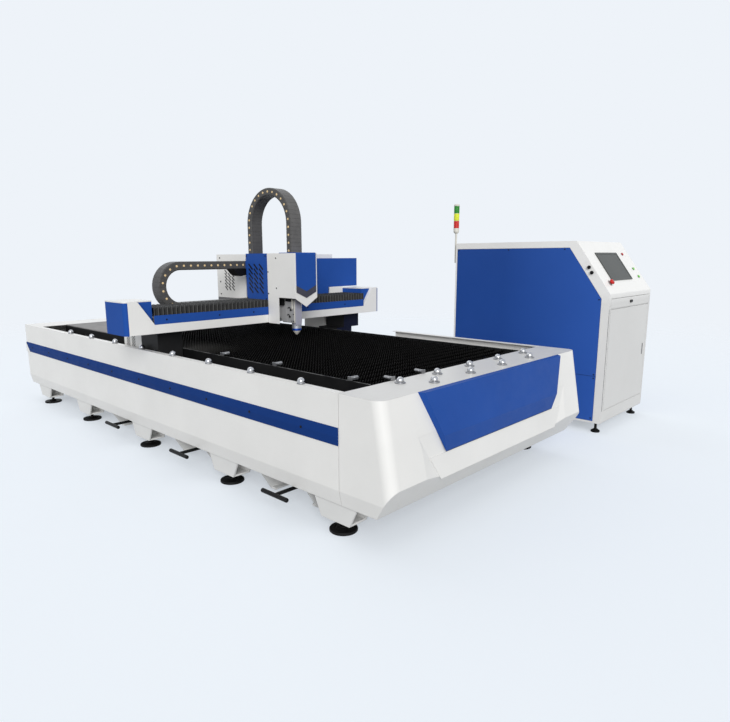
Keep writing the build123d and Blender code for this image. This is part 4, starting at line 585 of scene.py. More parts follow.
def half_turn(centre, first, middle, radius):
    """Half a circle from the direction first, by way of middle, to the opposite of first."""
    centre, first, middle = Vector(centre), Vector(first), Vector(middle)

    def place(s):
        a = s / radius
        normal = first * math.cos(a) + middle * math.sin(a)
        return centre + normal * radius, normal

    return math.pi * radius, place


def chain(name, path, across, width, depth, outer=CHAIN):
    """Links along a path: chamfered, with narrow seams, a pin on each side and a paint for the outer face,
    which is a painted highlight on the vertical chain.
    """
    bm = bmesh.new()
    across = Vector(across)
    count = max(1, round(path.length / LINK_PITCH))
    step = path.length / count
    rings = []

    def ring(s, drop):
        point, normal = path.at(s)
        hd, hw, c = depth / 2 - drop, width / 2 - drop, CHAIN_EDGE
        shape = ((-hw + c, -hd), (hw - c, -hd), (hw, -hd + c), (hw, hd - c),
                 (hw - c, hd), (-hw + c, hd), (-hw, hd - c), (-hw, -hd + c))
        rings.append([bm.verts.new(point + across * a + normal * b) for a, b in shape])

    half = step / 2
    edge = LINK_SEAM * half
    for i in range(2 * count):
        start = half * i
        ring(start + edge * 0.2, SEAM_DEPTH)
        for share in (0.0, 0.33, 0.67, 1.0):
            ring(start + edge + (half - 2 * edge) * share, 0.0)
        ring(start + half - edge * 0.2, SEAM_DEPTH)
    loft(bm, rings, lambda row, side: 2 if side == OUTER_FACE else 0)
    for i in range(count):
        point = path.at(step * (i + 0.5))[0]
        for axis in (-across, across):
            turned = axis.to_track_quat("Z", "Y").to_matrix().to_4x4()
            turn(bm, PIN, Matrix.Translation(point + axis * (width / 2)) @ turned, 14, 1)
    return piece(name, bm, [CHAIN, BRASS, outer], None)


up_lo, up_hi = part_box("x_chain_upper")
low_hi = hi("x_chain_lower")
bend_lo, bend_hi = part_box("x_chain_bend")
chain_depth = up_hi.z - up_lo.z
chain_width = up_hi.y - up_lo.y
chain_y = mid("x_chain_upper").y
bend_x = bend_hi.x
bend_z = mid("x_chain_bend").z
bend_mid = (bend_hi.z - bend_lo.z - chain_depth) / 2
upper_z, lower_z = bend_z + bend_mid, bend_z - bend_mid


def cross_chain(name, leg):
    """A run or the bend of the chain that serves the carriage."""
    return chain(name, Path([leg]), (0, 1, 0), chain_width, chain_depth)


upper = cross_chain(
    "cross_chain_upper", straight((bend_x, chain_y, upper_z), (up_hi.x, chain_y, upper_z), (0, 0, 1)))
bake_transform(upper)
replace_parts(upper, "x_chain_upper")

lower = cross_chain(
    "cross_chain_lower", straight((bend_x, chain_y, lower_z), (low_hi.x, chain_y, lower_z), (0, 0, -1)))
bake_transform(lower)
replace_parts(lower, "x_chain_lower")

loop = cross_chain(
    "cross_chain_bend", half_turn((bend_x, chain_y, bend_z), (0, 0, 1), (-1, 0, 0), bend_mid))
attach(loop, "x_chain_loop")
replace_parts(loop, "x_chain_bend")

zc_lo, zc_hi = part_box("z_chain")
z_width = zc_hi.x - zc_lo.x
z_x, z_y, _ = mid("z_chain")
z_depth = 0.058
z_mid = (zc_hi.y - zc_lo.y - z_depth) / 2
z_turn = zc_hi.z - (zc_hi.y - zc_lo.y) / 2
z_rear_foot = hi("head_cover").z
# The vertical chain's outer face takes the paler polymer, a painted highlight.
arch = chain(
    "vertical_chain",
    Path([
        straight((z_x, z_y + z_mid, z_rear_foot), (z_x, z_y + z_mid, z_turn), (0, 1, 0)),
        half_turn((z_x, z_y, z_turn), (0, 1, 0), (0, 0, 1), z_mid),
        straight((z_x, z_y - z_mid, z_turn), (z_x, z_y - z_mid, zc_lo.z), (0, -1, 0)),
    ]),
    (1, 0, 0), z_width, z_depth, CHAIN_LIT_FACE)
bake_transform(arch)
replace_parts(arch, "z_chain")


# Way covers

FOLD_PITCH = 0.034
FOLD_DEPTH = 0.014
FOLD_CREST = 0.10
FOLD_SKIN = 0.003
FOLD = ((0.0, 0.0), (FOLD_CREST, 0.0), (0.5 - FOLD_CREST / 2, FOLD_DEPTH), (0.5 + FOLD_CREST / 2, FOLD_DEPTH),
        (1 - FOLD_CREST, 0.0), (1.0, 0.0))
# Rows of each fold that keep the cloth's own colour; the others take the painted shade.
PALE_ROWS = (0, 4, 5)


def way_cover(name, node):
    """A pleated skin over front, top and back; on the machine its low or high end is fixed to the gantry."""
    low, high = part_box(node)
    folds = max(2, round((high.x - low.x) / FOLD_PITCH))
    step = (high.x - low.x) / folds
    bm = bmesh.new()
    rows = []
    for i in range(folds):
        for share, drop in FOLD:
            x = low.x + step * (i + share)
            front, back, top = low.y + drop, high.y - drop, high.z - drop
            inner_front, inner_back, inner_top = front + FOLD_SKIN, back - FOLD_SKIN, top - FOLD_SKIN
            outline = ((front, low.z), (front, top), (back, top), (back, low.z), (inner_back, low.z),
                       (inner_back, inner_top), (inner_front, inner_top), (inner_front, low.z))
            rows.append([bm.verts.new((x, y, z)) for y, z in outline])
    # Painted shade: slopes and valleys take the darker fold cloth.
    loft(bm, rows, lambda row, side: 0 if row % len(FOLD) in PALE_ROWS else 1)
    bmesh.ops.remove_doubles(bm, verts=bm.verts, dist=1e-5)
    cover = piece(name, bm, [BELLOWS, FOLD_SHADE_CLOTH], None)
    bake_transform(cover)
    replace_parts(cover, node)


way_cover("way_cover_left", "bellows_left")
way_cover("way_cover_right", "bellows_right")


# Ball transfers

def transfer_balls():
    """A polished ball in a pressed cup for each packed transfer."""
    bm = bmesh.new()
    cup_height, ball = 0.008, 0.021
    rim = ball * 0.97
    angles = [math.radians(d) for d in (-27, -12, 3, 18, 32, 45, 57, 68, 78)]
    for low, high in shells("ball_transfers"):
        at = upright(low, high)
        wide, z = (high.x - low.x) / 2, low.z
        cup = [(0, z), (wide, z), (wide, z + cup_height * 0.5), (wide * 0.3 + rim * 0.7, z + cup_height),
               (rim, z + cup_height), (rim * 0.96, z + cup_height * 0.6), (0, z + cup_height * 0.6)]
        turn(bm, cup, at, 36)
        centre = high.z - ball
        dome = [(ball * math.cos(t), centre + ball * math.sin(t)) for t in angles] + [(0, high.z)]
        turn(bm, [(0, dome[0][1])] + dome, at, 36, 1)
    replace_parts(piece("transfer_balls", bm, [ZINC, CHROME], "bed", True), "ball_transfers")


transfer_balls()


# Feet

THREAD_RISE = 0.002


def foot(bm, low, high, pad, stud, nut):
    """A dished round pad with a threaded stud and a lock nut."""
    at = upright(low, high)
    wide = (high.x - low.x) / 2
    collar, crown = pad * 1.5, pad * 1.75
    turn(bm, [(0, 0), (wide * 0.97, 0), (wide, pad * 0.2), (wide, pad * 0.75), (wide * 0.97, pad),
              (wide * 0.55, pad * 1.1), (stud * 2.0, collar), (stud * 1.9, crown), (0, crown)], at, 48)
    thread = [(0, collar)]
    z = collar
    while z < high.z - THREAD_RISE:
        thread += [(stud, z), (stud, z + THREAD_RISE * 0.4), (stud * 0.9, z + THREAD_RISE * 0.7)]
        z += THREAD_RISE
    turn(bm, thread + [(stud, high.z), (0, high.z)], at, 24, 1)
    radius, tall = nut
    base, edge = high.z - tall, tall * 0.12
    turn(bm, [(0, base), (radius * 0.9, base), (radius, base + edge), (radius, high.z - edge),
              (radius * 0.9, high.z), (0, high.z)], at, 6, 1)


def feet(name, node, pad, stud, nut):
    bm = bmesh.new()
    for low, high in shells(node):
        foot(bm, low, high, pad, stud, nut)
    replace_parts(piece(name, bm, [FOOT, SCREW], "bed"), node)


feet("bed_feet", "levelling_feet", pad=0.016, stud=0.012, nut=(0.024, 0.016))
feet("cabinet_pads", "cabinet_feet", pad=0.014, stud=0.011, nut=(0.019, 0.010))


# Slat table

TOOTH = 0.024
TOOTH_DEPTH = 0.020
TOOTH_WEAR = 0.004
TIP_SLANT = 0.0006


def slat_plates():
    """Laser-cut slats with fine teeth, each a little worn."""
    draw = random.Random(11)
    bm = bmesh.new()
    for low, high in shells("slats"):
        teeth = round((high.x - low.x) / TOOTH)
        step = (high.x - low.x) / teeth
        root = high.z - TOOTH_DEPTH
        top = [(low.x, root)]
        for i in range(teeth):
            tip = high.z - draw.uniform(0.0, TOOTH_WEAR)
            x = low.x + step * (i + 0.5)
            top += [(x - step * 0.10, tip), (x + step * 0.10, tip - TIP_SLANT), (x + step * 0.5, root)]
        rings = []
        for x, z in top:
            corners = ((low.y, z), (high.y, z), (high.y, low.z), (low.y, low.z))
            rings.append([bm.verts.new((x, *corner)) for corner in corners])
        loft(bm, rings, lambda row, side: 1 if side == 0 else 0)
    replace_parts(piece("slat_plates", bm, [SLAT, SLAT_EDGE], "bed"), "slats")


slat_plates()


# Sheet stops

def stops():
    """Round stops with a turned groove and a rounded nose on their small blocks."""
    radius, mount = 0.011, 0.006
    bm = bmesh.new()
    for low, high in shells("stop_pins"):
        axis = 0 if high.x - low.x > high.y - low.y else 1
        length = high[axis] - low[axis] - mount
        face, centre = high.copy(), (low + high) / 2
        face[axis] = centre[axis] = low[axis] + mount
        centre.z = low.z + radius
        solid_box(bm, low, face)
        at = Matrix.Translation(centre) @ FACING["+X" if axis == 0 else "+Y"]
        turn(bm, [(0, -0.001), (radius, -0.001), (radius, length * 0.30), (radius * 0.86, length * 0.33),
                  (radius * 0.86, length * 0.38), (radius, length * 0.41), (radius, length * 0.93),
                  (radius * 0.9, length * 0.98), (radius * 0.7, length), (0, length)], at, 28)
    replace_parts(piece("sheet_stops", bm, DARK_STEEL, "bed", bevel=0.001), "stop_pins")


stops()


# Scrap drawers

def drawers():
    """Folded trays with a round T pull."""
    bar, stem, wall, pull, pull_z = 0.013, 0.011, 0.004, 0.224, 0.148
    for number in (1, 2, 3):
        node = f"scrap_drawer_{number}"
        low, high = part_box(node)
        middle = low.y + pull / 2
        x0, x1 = BED_LEFT + 0.305, high.x
        y0, y1 = high.y - 0.400, high.y
        z0, z1 = low.z, high.z
        bm = bmesh.new()
        solid_box(bm, (x0, y0, z0), (x1, y1, z0 + wall))
        solid_box(bm, (x0, y0, z0), (x0 + wall, y1, z1))
        solid_box(bm, (x1 - wall, y0, z0), (x1, y1, z1))
        solid_box(bm, (x0, y0, z0), (x1, y0 + wall, z1))
        solid_box(bm, (x0, y1 - wall, z0), (x1, y1, z1))
        at = Matrix.Translation((low.x + bar, middle, pull_z)) @ FACING["+X"]
        reach = x0 - low.x - bar
        turn(bm, [(0, 0), (stem, 0), (stem, reach - 0.012), (stem * 2, reach - 0.010),
                  (stem * 2, reach), (0, reach)], at, 24, 1)
        at = Matrix.Translation((low.x + bar, middle - pull / 2, pull_z)) @ FACING["+Y"]
        turn(bm, [(0, 0), (bar * 0.75, 0), (bar * 0.95, 0.003), (bar, 0.008), (bar, pull - 0.008),
                  (bar * 0.95, pull - 0.003), (bar * 0.75, pull), (0, pull)], at, 28, 1)
        tray = piece(f"scrap_tray_{number}", bm, [TRAY, SCREW], node, bevel=0.0012)
        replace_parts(tray, node)


drawers()


# Cabinet

CONSOLE_BACK = 0.298
CONSOLE_TOP = CAB[1].z
SLOPE = Vector((0, CONSOLE_BACK, CONSOLE_TOP - CONSOLE_LOW)).normalized()
OUTWARD = Vector((0, -SLOPE.z, SLOPE.y))


def on_console(u, v):
    """A frame on the sloping console, with X across, Y up the slope and Z outwards."""
    point = Vector((CAB[0].x, CAB[0].y, CONSOLE_LOW)) + SLOPE * v
    point.x += u
    return Matrix((
        (1, 0, 0, point.x),
        (0, SLOPE.y, OUTWARD.y, point.y),
        (0, SLOPE.z, OUTWARD.z, point.z),
        (0, 0, 0, 1)))


def button(node, place, radius, rise, waist, material, cap):
    """A push button's cap on its waist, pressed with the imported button."""
    bm = bmesh.new()
    stem, depth = 0.008, -0.022
    at = on_console(*place)
    turn(bm, [(0, depth), (stem, depth), (stem, waist), (0, waist)], at, 24, 1)
    turn(bm, [(0, waist)] + [(radius * r, waist + (rise - waist) * h) for r, h in cap] + [(0, rise)], at, 40)
    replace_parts(piece(f"{node}_cap", bm, [material, ZINC], node, True), node)


MUSHROOM = ((0.70, 0.0), (0.78, 0.25), (1.0, 0.32), (1.0, 0.65), (0.94, 0.80), (0.80, 0.92), (0.58, 0.98))
FLAT_CAP = ((0.96, 0.0), (1.0, 0.1), (1.0, 0.6), (0.96, 0.85), (0.86, 1.0))
# Place on the console, radius, rise, waist, material and cap of each button
BUTTONS = {
    "estop": ((0.130, 0.100), 0.022, 0.032, 0.0085, RED, MUSHROOM),
    "button_red": ((0.788, 0.380), 0.013, 0.010, 0.005, RED, FLAT_CAP),
    "button_green_1": ((0.833, 0.222), 0.013, 0.010, 0.005, GREEN, FLAT_CAP),
    "button_green_2": ((0.845, 0.140), 0.013, 0.010, 0.005, GREEN, FLAT_CAP),
}


def console_buttons():
    bezels = bmesh.new()
    bore, sunk, proud = 0.0095, -0.001, 0.0008
    for node, (place, radius, *form) in BUTTONS.items():
        button(node, place, radius, *form)
        wide = radius * 1.25
        turn(bezels, [(bore, sunk), (wide, sunk), (wide, proud / 2), (wide * 0.93, proud), (bore, proud),
                      (bore, sunk)], on_console(*place), 40)
    piece("button_bezels", bezels, BEZEL, "bed", True)


console_buttons()


def thumb_bolts():
    """Round-headed thumb bolts beside the console."""
    bm = bmesh.new()
    for low, high in shells("panel_bolts"):
        radius, tall = (high.y - low.y) / 2, high.x - low.x
        at = Matrix.Translation((high.x, (low.y + high.y) / 2, (low.z + high.z) / 2)) @ FACING["-X"]
        turn(bm, [(0, 0), (radius * 0.7, 0), (radius * 0.7, tall * 0.25), (radius * 0.95, tall * 0.30),
                  (radius, tall * 0.4), (radius, tall * 0.85), (radius * 0.9, tall), (0, tall)], at, 32)
    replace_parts(piece("thumb_bolts", bm, FOOT, "bed", True), "panel_bolts")


thumb_bolts()


def tower():
    """Three ribbed lenses between an ivory base and cap, on a pole clamped to the cabinet."""
    low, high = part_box("signal_tower")
    radius, pole, gap, rib_count = 0.026, 0.009, 0.003, 7
    x, y, base = (low.x + high.x) / 2, high.y - radius, high.z - 0.272
    at = Matrix.Translation((x, y, 0))
    bm = bmesh.new()
    turn(bm, [(0, low.z), (pole, low.z), (pole, base), (0, base)], at, 24)
    solid_box(bm, (x - pole, CAB[1].y, low.z + 0.060), (x + pole, y, low.z + 0.120))
    start, stop = base + 0.052, high.z - 0.016
    turn(bm, [(0, base), (pole, base), (radius * 0.8, base + 0.010), (radius, base + 0.020), (radius, start),
              (0, start)], at, 40)
    tall = (stop - start) / 3
    for i in range(3):
        z0, z1 = start + tall * i, start + tall * (i + 1) - gap
        ribs = [(0, z0)]
        share = (z1 - z0) / rib_count
        for k in range(rib_count):
            z = z0 + share * k
            ribs += [(radius * 0.95, z), (radius * 0.99, z + share * 0.3), (radius * 0.99, z + share * 0.7)]
        turn(bm, ribs + [(radius * 0.95, z1), (0, z1)], at, 40, i + 1)
        turn(bm, [(0, z1), (radius * 0.9, z1), (radius * 0.9, z1 + gap), (0, z1 + gap)], at, 40)
    turn(bm, [(0, stop), (radius, stop), (radius, high.z - 0.008), (radius * 0.85, high.z - 0.002),
              (radius * 0.6, high.z), (0, high.z)], at, 40)
    lamps = piece("signal_lamps", bm, [IVORY, LAMP_RED, LAMP_YELLOW, LAMP_GREEN], "bed")
    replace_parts(lamps, "signal_tower")


tower()


# Cutting head

def cutting_head():
    """The focusing head: grooved barrel, blue ring and pale nozzle."""
    low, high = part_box("cutting_head")
    at = upright(low, high)
    wide, narrow = (high.x - low.x) / 2, 0.037
    sunk, shoulder, shelf = wide * 0.96, 0.938, 1.120
    bm = bmesh.new()
    profile = [(0, low.z), (narrow, low.z), (narrow, shoulder - 0.020), (wide, shoulder)]
    for groove in (0.962, 0.985, 1.045, 1.085):
        profile += [(wide, groove), (sunk, groove + 0.002), (sunk, groove + 0.005), (wide, groove + 0.007)]
    profile += [(wide, shelf - 0.004), (wide - 0.004, shelf), (narrow, shelf), (narrow, high.z - 0.003),
                (narrow - 0.003, high.z), (0, high.z)]
    turn(bm, profile, at, 56)
    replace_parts(piece("head_barrel", bm, ALU, "z_axis"), "cutting_head")
    low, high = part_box("head_ring")
    bm = bmesh.new()
    edge = (high.z - low.z) * 0.15
    turn(bm, [(0, low.z), (narrow * 0.95, low.z), (narrow, low.z + edge), (narrow, high.z - edge),
              (narrow * 0.95, high.z), (0, high.z)], at, 56)
    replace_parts(piece("ceramic_ring", bm, RING, "z_axis"), "head_ring")
    low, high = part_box("nozzle")
    bm = bmesh.new()
    wide, tip = (high.x - low.x) / 2, 0.008
    turn(bm, [(0, low.z + 0.004), (tip * 0.35, low.z + 0.004), (tip * 0.4, low.z), (tip, low.z),
              (tip * 1.1, low.z + 0.001), (wide * 0.98, high.z - tip), (wide, high.z - tip * 0.9),
              (wide, high.z), (0, high.z)], at, 48)
    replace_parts(piece("nozzle_tip", bm, NOZZLE, "z_axis"), "nozzle")


cutting_head()


# Louvre mouths

MOUTH = ((-1, -0.5), (-0.92, -1), (0.92, -1), (1, -0.5), (1, 0.5), (0.92, 1), (-0.92, 1), (-1, 0.5))
MOUTH_HEIGHT = 0.19
MOTOR_LEAN, COVER_LEAN = 35, 138
PLATE_MARGIN = 0.010
PLATE_RISE = 0.0005


def louvre_mouths(bm, face, field, count, facing, lean=MOTOR_LEAN, share=0.40, plate=None):
    """Slanted openings on a face that looks along X, on a thin plate where one is given; their black is painted
    shade inside the slots.
    """
    low, high = face
    left, right, bottom, top = field
    rows, columns = count
    size = high - low
    y0, y1 = low.y + size.y * left, low.y + size.y * right
    z0, z1 = low.z + size.z * bottom, low.z + size.z * top
    wide, tall = (y1 - y0) / columns, (z1 - z0) / rows
    slant = math.radians(lean)
    along = Vector((0, math.cos(slant), -math.sin(slant))) * (wide * share)
    upward = Vector((0, math.sin(slant), math.cos(slant))) * (tall * MOUTH_HEIGHT)
    out = Vector((-1, 0, 0)) if facing == "-X" else Vector((1, 0, 0))
    x = low.x if facing == "-X" else high.x
    if plate is not None:
        solid_box(bm, (x - PLATE_RISE, y0 - PLATE_MARGIN, z0 - PLATE_MARGIN),
                  (x + PLATE_RISE, y1 + PLATE_MARGIN, z1 + PLATE_MARGIN), plate)
        x -= PLATE_RISE
    for row in range(rows):
        for column in range(columns):
            centre = Vector((x, y0 + wide * (column + 0.5), z0 + tall * (row + 0.5)))
            rings = []
            for depth, grow in ((-0.003, 1.0), (0.0005, 1.0), (0.0009, 0.9)):
                middle = centre + out * depth
                rings.append([bm.verts.new(middle + (along * a + upward * h) * grow) for a, h in MOUTH])
            loft(bm, rings)


def louvres():
    bm = bmesh.new()
    # The mouths are black: painted shade inside the slots.
    louvre_mouths(bm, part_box("vent_cover"), (0.15, 0.87, 0.17, 0.77), (6, 3), "-X", COVER_LEAN, 0.50, plate=1)
    piece("vent_slots", bm, [SCREW, BLUE_PLATE], "carriage")
    bm = bmesh.new()
    louvre_mouths(bm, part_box("rear_box"), (0.38, 0.74, 0.18, 0.64), (6, 3), "-X", COVER_LEAN, 0.48, plate=1)
    for motor, facing in zip(shells("y_motor_covers"), ("-X", "+X")):
        louvre_mouths(bm, motor, (0.30, 0.90, 0.12, 0.90), (7, 2), facing)
    piece("gantry_slots", bm, [SCREW, WHITE_PLATE], "gantry")


louvres()


# Vertical axis fittings

def tube(bm, points, radius):
    """A round cable or pipe through points, closed at both ends."""
    points = [Vector(p) for p in points]
    angles = [2 * math.pi * k / 12 for k in range(12)]
    side = Vector((0.3, 0.5, 0.8))
    rings = []
    for i, point in enumerate(points):
        ahead = (points[min(i + 1, len(points) - 1)] - points[max(i - 1, 0)]).normalized()
        side = (side - ahead * side.dot(ahead)).normalized()
        other = ahead.cross(side)
        ring = [point + (side * math.cos(t) + other * math.sin(t)) * radius for t in angles]
        rings.append([bm.verts.new(p) for p in ring])
    loft(bm, rings)


def arc(centre, radius, start, end):
    """Points of an arc in the plane of Y and Z, angles in degrees."""
    angles = [math.radians(start + (end - start) * i / 10) for i in range(11)]
    return [(centre[0], centre[1] + radius * math.cos(t), centre[2] + radius * math.sin(t)) for t in angles]


def z_fittings():
    """What shows under the head cover: side plate, front block, cables, white pipes and sensors."""
    x, y, _ = mid("cutting_head")
    left, front, bottom, top = x - 0.053, y - 0.047, 0.912, 1.124
    bm = bmesh.new()
    solid_box(bm, (left, front, bottom + 0.018), (left + 0.006, y + 0.110, top))
    solid_box(bm, (left + 0.004, front - 0.004, bottom), (x + 0.012, y - 0.020, top), 1)
    piece("head_plates", bm, [PLATE, LAVENDER], "z_axis", bevel=0.0025)
    bm = bmesh.new()
    tube(bm, [(left - 0.006, front + 0.028, top - 0.085 + 0.01 * i) for i in range(10)], 0.005)
    tube(bm, [(left - 0.002, front + 0.006, bottom + 0.02 + 0.02 * i) for i in range(10)], 0.0035)
    piece("gas_pipe", bm, IVORY, "z_axis", True)
    bm = bmesh.new()
    solid_box(bm, (left - 0.030, y + 0.075, top - 0.055), (left, y + 0.108, top))
    solid_box(bm, (left - 0.012, front + 0.045, top - 0.022), (left, front + 0.105, top))
    for at_y, at_z, size in ((y + 0.018, 1.040, 0.016), (y + 0.028, 0.985, 0.013)):
        tube(bm, arc((left - 0.008, at_y, at_z), size, 200, 20), 0.0032)
        solid_box(bm, (left - 0.010, at_y - size - 0.006, at_z - 0.012), (left, at_y - size + 0.006, at_z))
    piece("head_sensors", bm, SCREW, "z_axis", bevel=0.001)
    places = [(left, y + along, z) for along in (-0.025, 0.095) for z in (0.945, 1.000)]
    screws("plate_screws", places + [(left, y - 0.005, 0.945)], "-X", "z_axis", 0.005, 0.003)
    places = [(x + 0.012, y - 0.035, z) for z in (0.94, 1.00, 1.06)]
    screws("block_screws", places, "+X", "z_axis", 0.006, 0.004, IVORY)


z_fittings()


def chain_bracket():
    """The dark gusset that carries the cross chain's end behind the hood."""
    face, top = lo("vent_cover").x, lo("x_chain_upper").z - 0.001
    shape = ((-0.125, 0), (-0.110, 0.012), (-0.070, 0.052), (-0.045, 0.060),
             (0.010, 0.050), (0.060, 0.050), (0.060, 0))
    sides = lo("x_chain_upper").y + 0.006, hi("x_chain_upper").y - 0.006
    bm = bmesh.new()
    loft(bm, [[bm.verts.new((face + x, y, top - drop)) for x, drop in shape] for y in sides])
    piece("chain_bracket", bm, SCREW, "carriage", bevel=0.002)


chain_bracket()


def badge_top():
    """Blue strips that carry the head's badge plate back over the top, on both sides of the chain."""
    low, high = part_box("head_badge")
    chain_low, chain_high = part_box("z_chain")
    bm = bmesh.new()
    for x0, x1 in ((low.x, chain_low.x - 0.004), (chain_high.x + 0.004, high.x)):
        solid_box(bm, (x0, high.y - 0.004, hi("head_cover").z - 0.001), (x1, high.y + 0.145, high.z))
    piece("badge_top", bm, BLUE, "carriage", bevel=0.002)


badge_top()


# Small fittings on the covers and the cabinet

def band_ends():
    """White cover plates that give the blue bands their slanted rear ends."""
    low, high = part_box("side_stripes")
    lap, sheet, sunk = 0.0005, 0.0006, 0.001
    back, bottom, top = high.y + lap, low.z - lap, high.z + lap
    shape = ((back, top), (back, bottom), (back - (top - bottom), bottom))
    bm = bmesh.new()
    for sides in ((low.x - sheet, low.x + sunk), (high.x - sunk, high.x + sheet)):
        loft(bm, [[bm.verts.new((x, y, z)) for y, z in shape] for x in sides])
    piece("band_ends", bm, WHITE_PLATE, "bed")


band_ends()


def cover_screws():
    """Screws along the bands, the hood, the head cover, the fascia and the service box."""
    x = lo("side_stripes").x
    z = mid("side_stripes").z
    screws("stripe_screws", [(x, SEAM + 0.28 + 0.46 * i, z) for i in range(10)], "-X", "bed", 0.008)
    low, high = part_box("vent_cover")
    places = [(low.x, y, z) for y in (low.y + 0.018, high.y - 0.018) for z in (low.z + 0.018, high.z - 0.02)]
    low = lo("head_cover")
    for back, z in ((0.227, 1.443), (0.227, 1.207), (0.330, 1.334), (0.330, 1.16)):
        places.append((low.x, low.y + back, z))
    screws("carriage_screws", places, "-X", "carriage", 0.006)
    places = [(x, lo("beam_fascia_blue").y, 1.020) for x in (-1.66, -1.22, -0.90, -0.32, 0.14)]
    screws("fascia_screws", places, "-Y", "gantry", 0.006)
    low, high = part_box("rear_box")
    places = [(low.x, high.y - 0.05, z) for z in (low.z + 0.03, low.z + 0.14, high.z - 0.03)]
    screws("rear_box_screws", places, "-X", "gantry", 0.007)


cover_screws()


def cabinet_fittings():
    """Panel screws, dark joint lines, drawer lock, door pull and the seal at the door's hinge side."""
    left, front, top = CAB[0].x, CAB[0].y, CAB[1].z
    seam_z, door_low, door_high, pull_low, pull_high = 0.4775, 0.198, 1.023, 0.572, 0.668
    spots = [(left, front + 0.085, z) for z in (1.105, 0.492, 0.462, 0.125)]
    spots += [(left, front + back, top - 0.066) for back in (0.395, 0.91, 1.43)]
    screws("panel_screws", spots, "-X", "bed", 0.006, 0.002)
    bm = bmesh.new()
    solid_box(bm, (left - 0.0004, front + 0.068, seam_z), (left + 0.002, front + 0.62, seam_z + 0.0025))
    solid_box(bm, (left + 0.0025, front - 0.0005, door_low - 0.005),
              (left + 0.0085, front + 0.001, door_high + 0.005))
    piece("cabinet_joints", bm, SCREW, "bed", bevel=0.0002)
    middle, face = mid("keyboard_drawer").x, lo("keyboard_drawer").y
    lock_z, half, radius = 1.073, 0.0152, 0.0118
    oval = []
    for i in range(32):
        t = 2 * math.pi * i / 32
        oval.append((math.copysign(half, math.cos(t)) + radius * math.cos(t), radius * math.sin(t)))
    bm = bmesh.new()
    loft(bm, [[bm.verts.new((middle + x * grow, y, lock_z + z * grow)) for x, z in oval]
              for y, grow in ((front + 0.001, 1.0), (face + 0.0006, 1.0), (face - 0.0008, 0.93))])
    piece("drawer_lock", bm, SCREW, "keyboard_drawer")
    end = hi("cabinet_door").x
    bm = bmesh.new()
    solid_box(bm, (end - 0.0655, front + 0.0010, pull_low), (end - 0.0385, front + 0.0098, pull_high))
    edge = left + 0.037
    solid_box(bm, (edge - 0.0004, front + 0.0006, door_low), (edge + 0.0006, front + 0.012, door_high), 1)
    piece("door_fittings", bm, [GREY, SCREW], "cabinet_door", bevel=0.0003)


cabinet_fittings()


# Camera, floor and light

EYE = Vector((BED_LEFT - 1.995, SEAM - 2.030, 1.450))
AZIMUTH = math.radians(46.06027)
ELEVATION = math.radians(10.98756)
ROLL = math.radians(-0.269256)
# Focal length, centre and size of the picture in pixels, and the sensor in millimetres
FOCAL, CENTRE_X, CENTRE_Y, WIDE, TALL = 587.2067, 353.6818, 370.9448, 730, 722
SENSOR = 36.0

right = Vector((math.cos(AZIMUTH), -math.sin(AZIMUTH), 0))
level = Vector((math.sin(AZIMUTH), math.cos(AZIMUTH), 0))
ahead = level * math.cos(ELEVATION) - Vector((0, 0, math.sin(ELEVATION)))
above = right.cross(ahead)
tilted = right * math.cos(ROLL) + above * math.sin(ROLL)
upward = above * math.cos(ROLL) - right * math.sin(ROLL)
camera = bpy.data.objects.new("photo_camera", bpy.data.cameras.new("photo_camera"))
bpy.context.collection.objects.link(camera)
camera.matrix_world = Matrix((*zip(tilted, upward, -ahead, EYE), (0, 0, 0, 1)))
camera.data.sensor_width = SENSOR
camera.data.lens = FOCAL * SENSOR / WIDE
camera.data.shift_x = (WIDE / 2 - CENTRE_X) / WIDE
camera.data.shift_y = (CENTRE_Y - TALL / 2) / WIDE
camera.data.clip_end = 200.0
bpy.context.scene.camera = camera

PALE = (0.854993, 0.896269, 0.947307, 1)


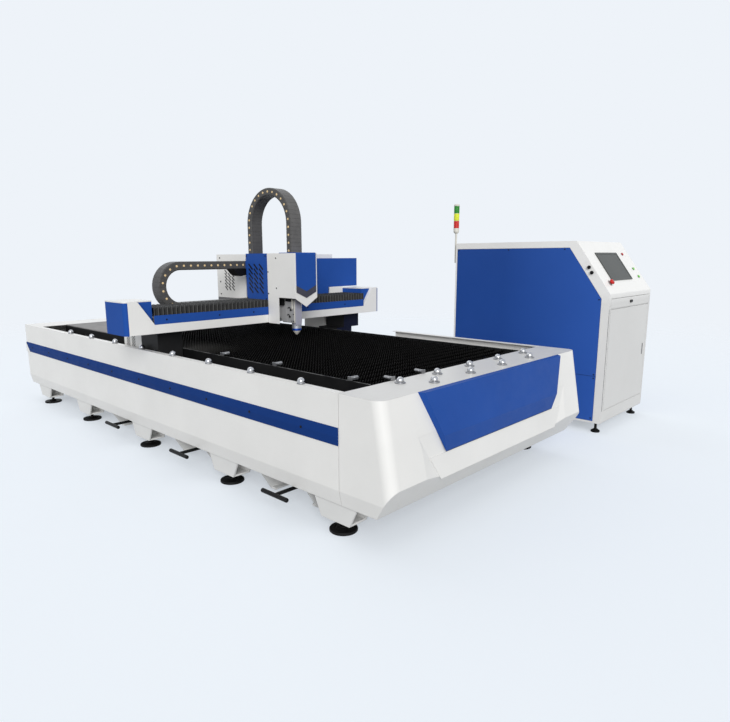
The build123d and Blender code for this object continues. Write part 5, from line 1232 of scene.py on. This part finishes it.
def floor():
    """A pale floor that keeps the shadow and fades into the background further out."""
    bpy.ops.mesh.primitive_circle_add(vertices=96, radius=30, fill_type="NGON", location=(0, 0, 0))
    plane = bpy.context.object
    plane.name = "studio_floor"
    m = Mat("floor_paper", 0.9, spec=0.1)
    path = m.add("ShaderNodeLightPath")
    seen = m.math("MAXIMUM", path.outputs["Is Camera Ray"], path.outputs["Is Glossy Ray"])
    seen = m.math("MAXIMUM", seen, path.outputs["Is Transmission Ray"])
    m.colour(m.mix(seen, (0.36, 0.375, 0.39), (0.52, 0.55, 0.58)))
    glow = m.add("ShaderNodeEmission")
    glow.inputs["Color"].default_value = (0.382, 0.405, 0.433, 1)
    m.link(seen, glow.inputs["Strength"])
    lit = m.add("ShaderNodeAddShader")
    m.link(m.bsdf.outputs[0], lit.inputs[0])
    m.link(glow.outputs[0], lit.inputs[1])
    distance = m.add("ShaderNodeVectorMath", operation="LENGTH")
    m.link(m.coord, distance.inputs[0])
    fade = m.remap(distance.outputs["Value"], 0.0, 1.0, start=4.0, end=11.0)
    clear = m.add("ShaderNodeBsdfTransparent")
    blend = m.add("ShaderNodeMixShader")
    m.link(m.math("MULTIPLY", fade, seen), blend.inputs["Fac"])
    m.link(lit.outputs[0], blend.inputs[1])
    m.link(clear.outputs[0], blend.inputs[2])
    m.link(blend.outputs[0], m.nodes["Material Output"].inputs["Surface"])
    plane.data.materials.append(m.mat)


def world(strength):
    """Soft even room light, seen as a pale background."""
    sky = bpy.data.worlds.new("studio")
    sky.use_nodes = True
    bpy.context.scene.world = sky
    tree = sky.node_tree
    new, link = tree.nodes.new, tree.links.new
    light = tree.nodes["Background"]
    light.inputs["Color"].default_value = (0.97, 0.985, 1.0, 1)
    light.inputs["Strength"].default_value = strength
    back = new("ShaderNodeBackground")
    back.inputs["Color"].default_value = PALE
    back.inputs["Strength"].default_value = 1.0
    path = new("ShaderNodeLightPath")
    seen = path.outputs["Is Camera Ray"]
    for kind in ("Is Glossy Ray", "Is Transmission Ray"):
        either = new("ShaderNodeMath")
        either.operation = "MAXIMUM"
        link(seen, either.inputs[0])
        link(path.outputs[kind], either.inputs[1])
        seen = either.outputs[0]
    mix = new("ShaderNodeMixShader")
    link(seen, mix.inputs["Fac"])
    link(light.outputs[0], mix.inputs[1])
    link(back.outputs[0], mix.inputs[2])
    link(mix.outputs[0], tree.nodes["World Output"].inputs["Surface"])


def sun(name, azimuth, elevation, strength, spread):
    """A wide soft lamp shining from a compass direction: 0 is the front, 90 the left side."""
    lamp = bpy.data.lights.new(name, "SUN")
    lamp.energy = strength
    lamp.angle = math.radians(spread)
    obj = bpy.data.objects.new(name, lamp)
    bpy.context.collection.objects.link(obj)
    a, e = math.radians(azimuth), math.radians(elevation)
    direction = Vector((-math.sin(a) * math.cos(e), -math.cos(a) * math.cos(e), math.sin(e)))
    obj.matrix_world = direction.to_track_quat("Z", "Y").to_matrix().to_4x4()


floor()
world(0.50)
sun("key", azimuth=42, elevation=24, strength=2.3, spread=35)
sun("fill", azimuth=200, elevation=40, strength=0.45, spread=60)
bpy.context.scene.view_settings.view_transform = "Standard"
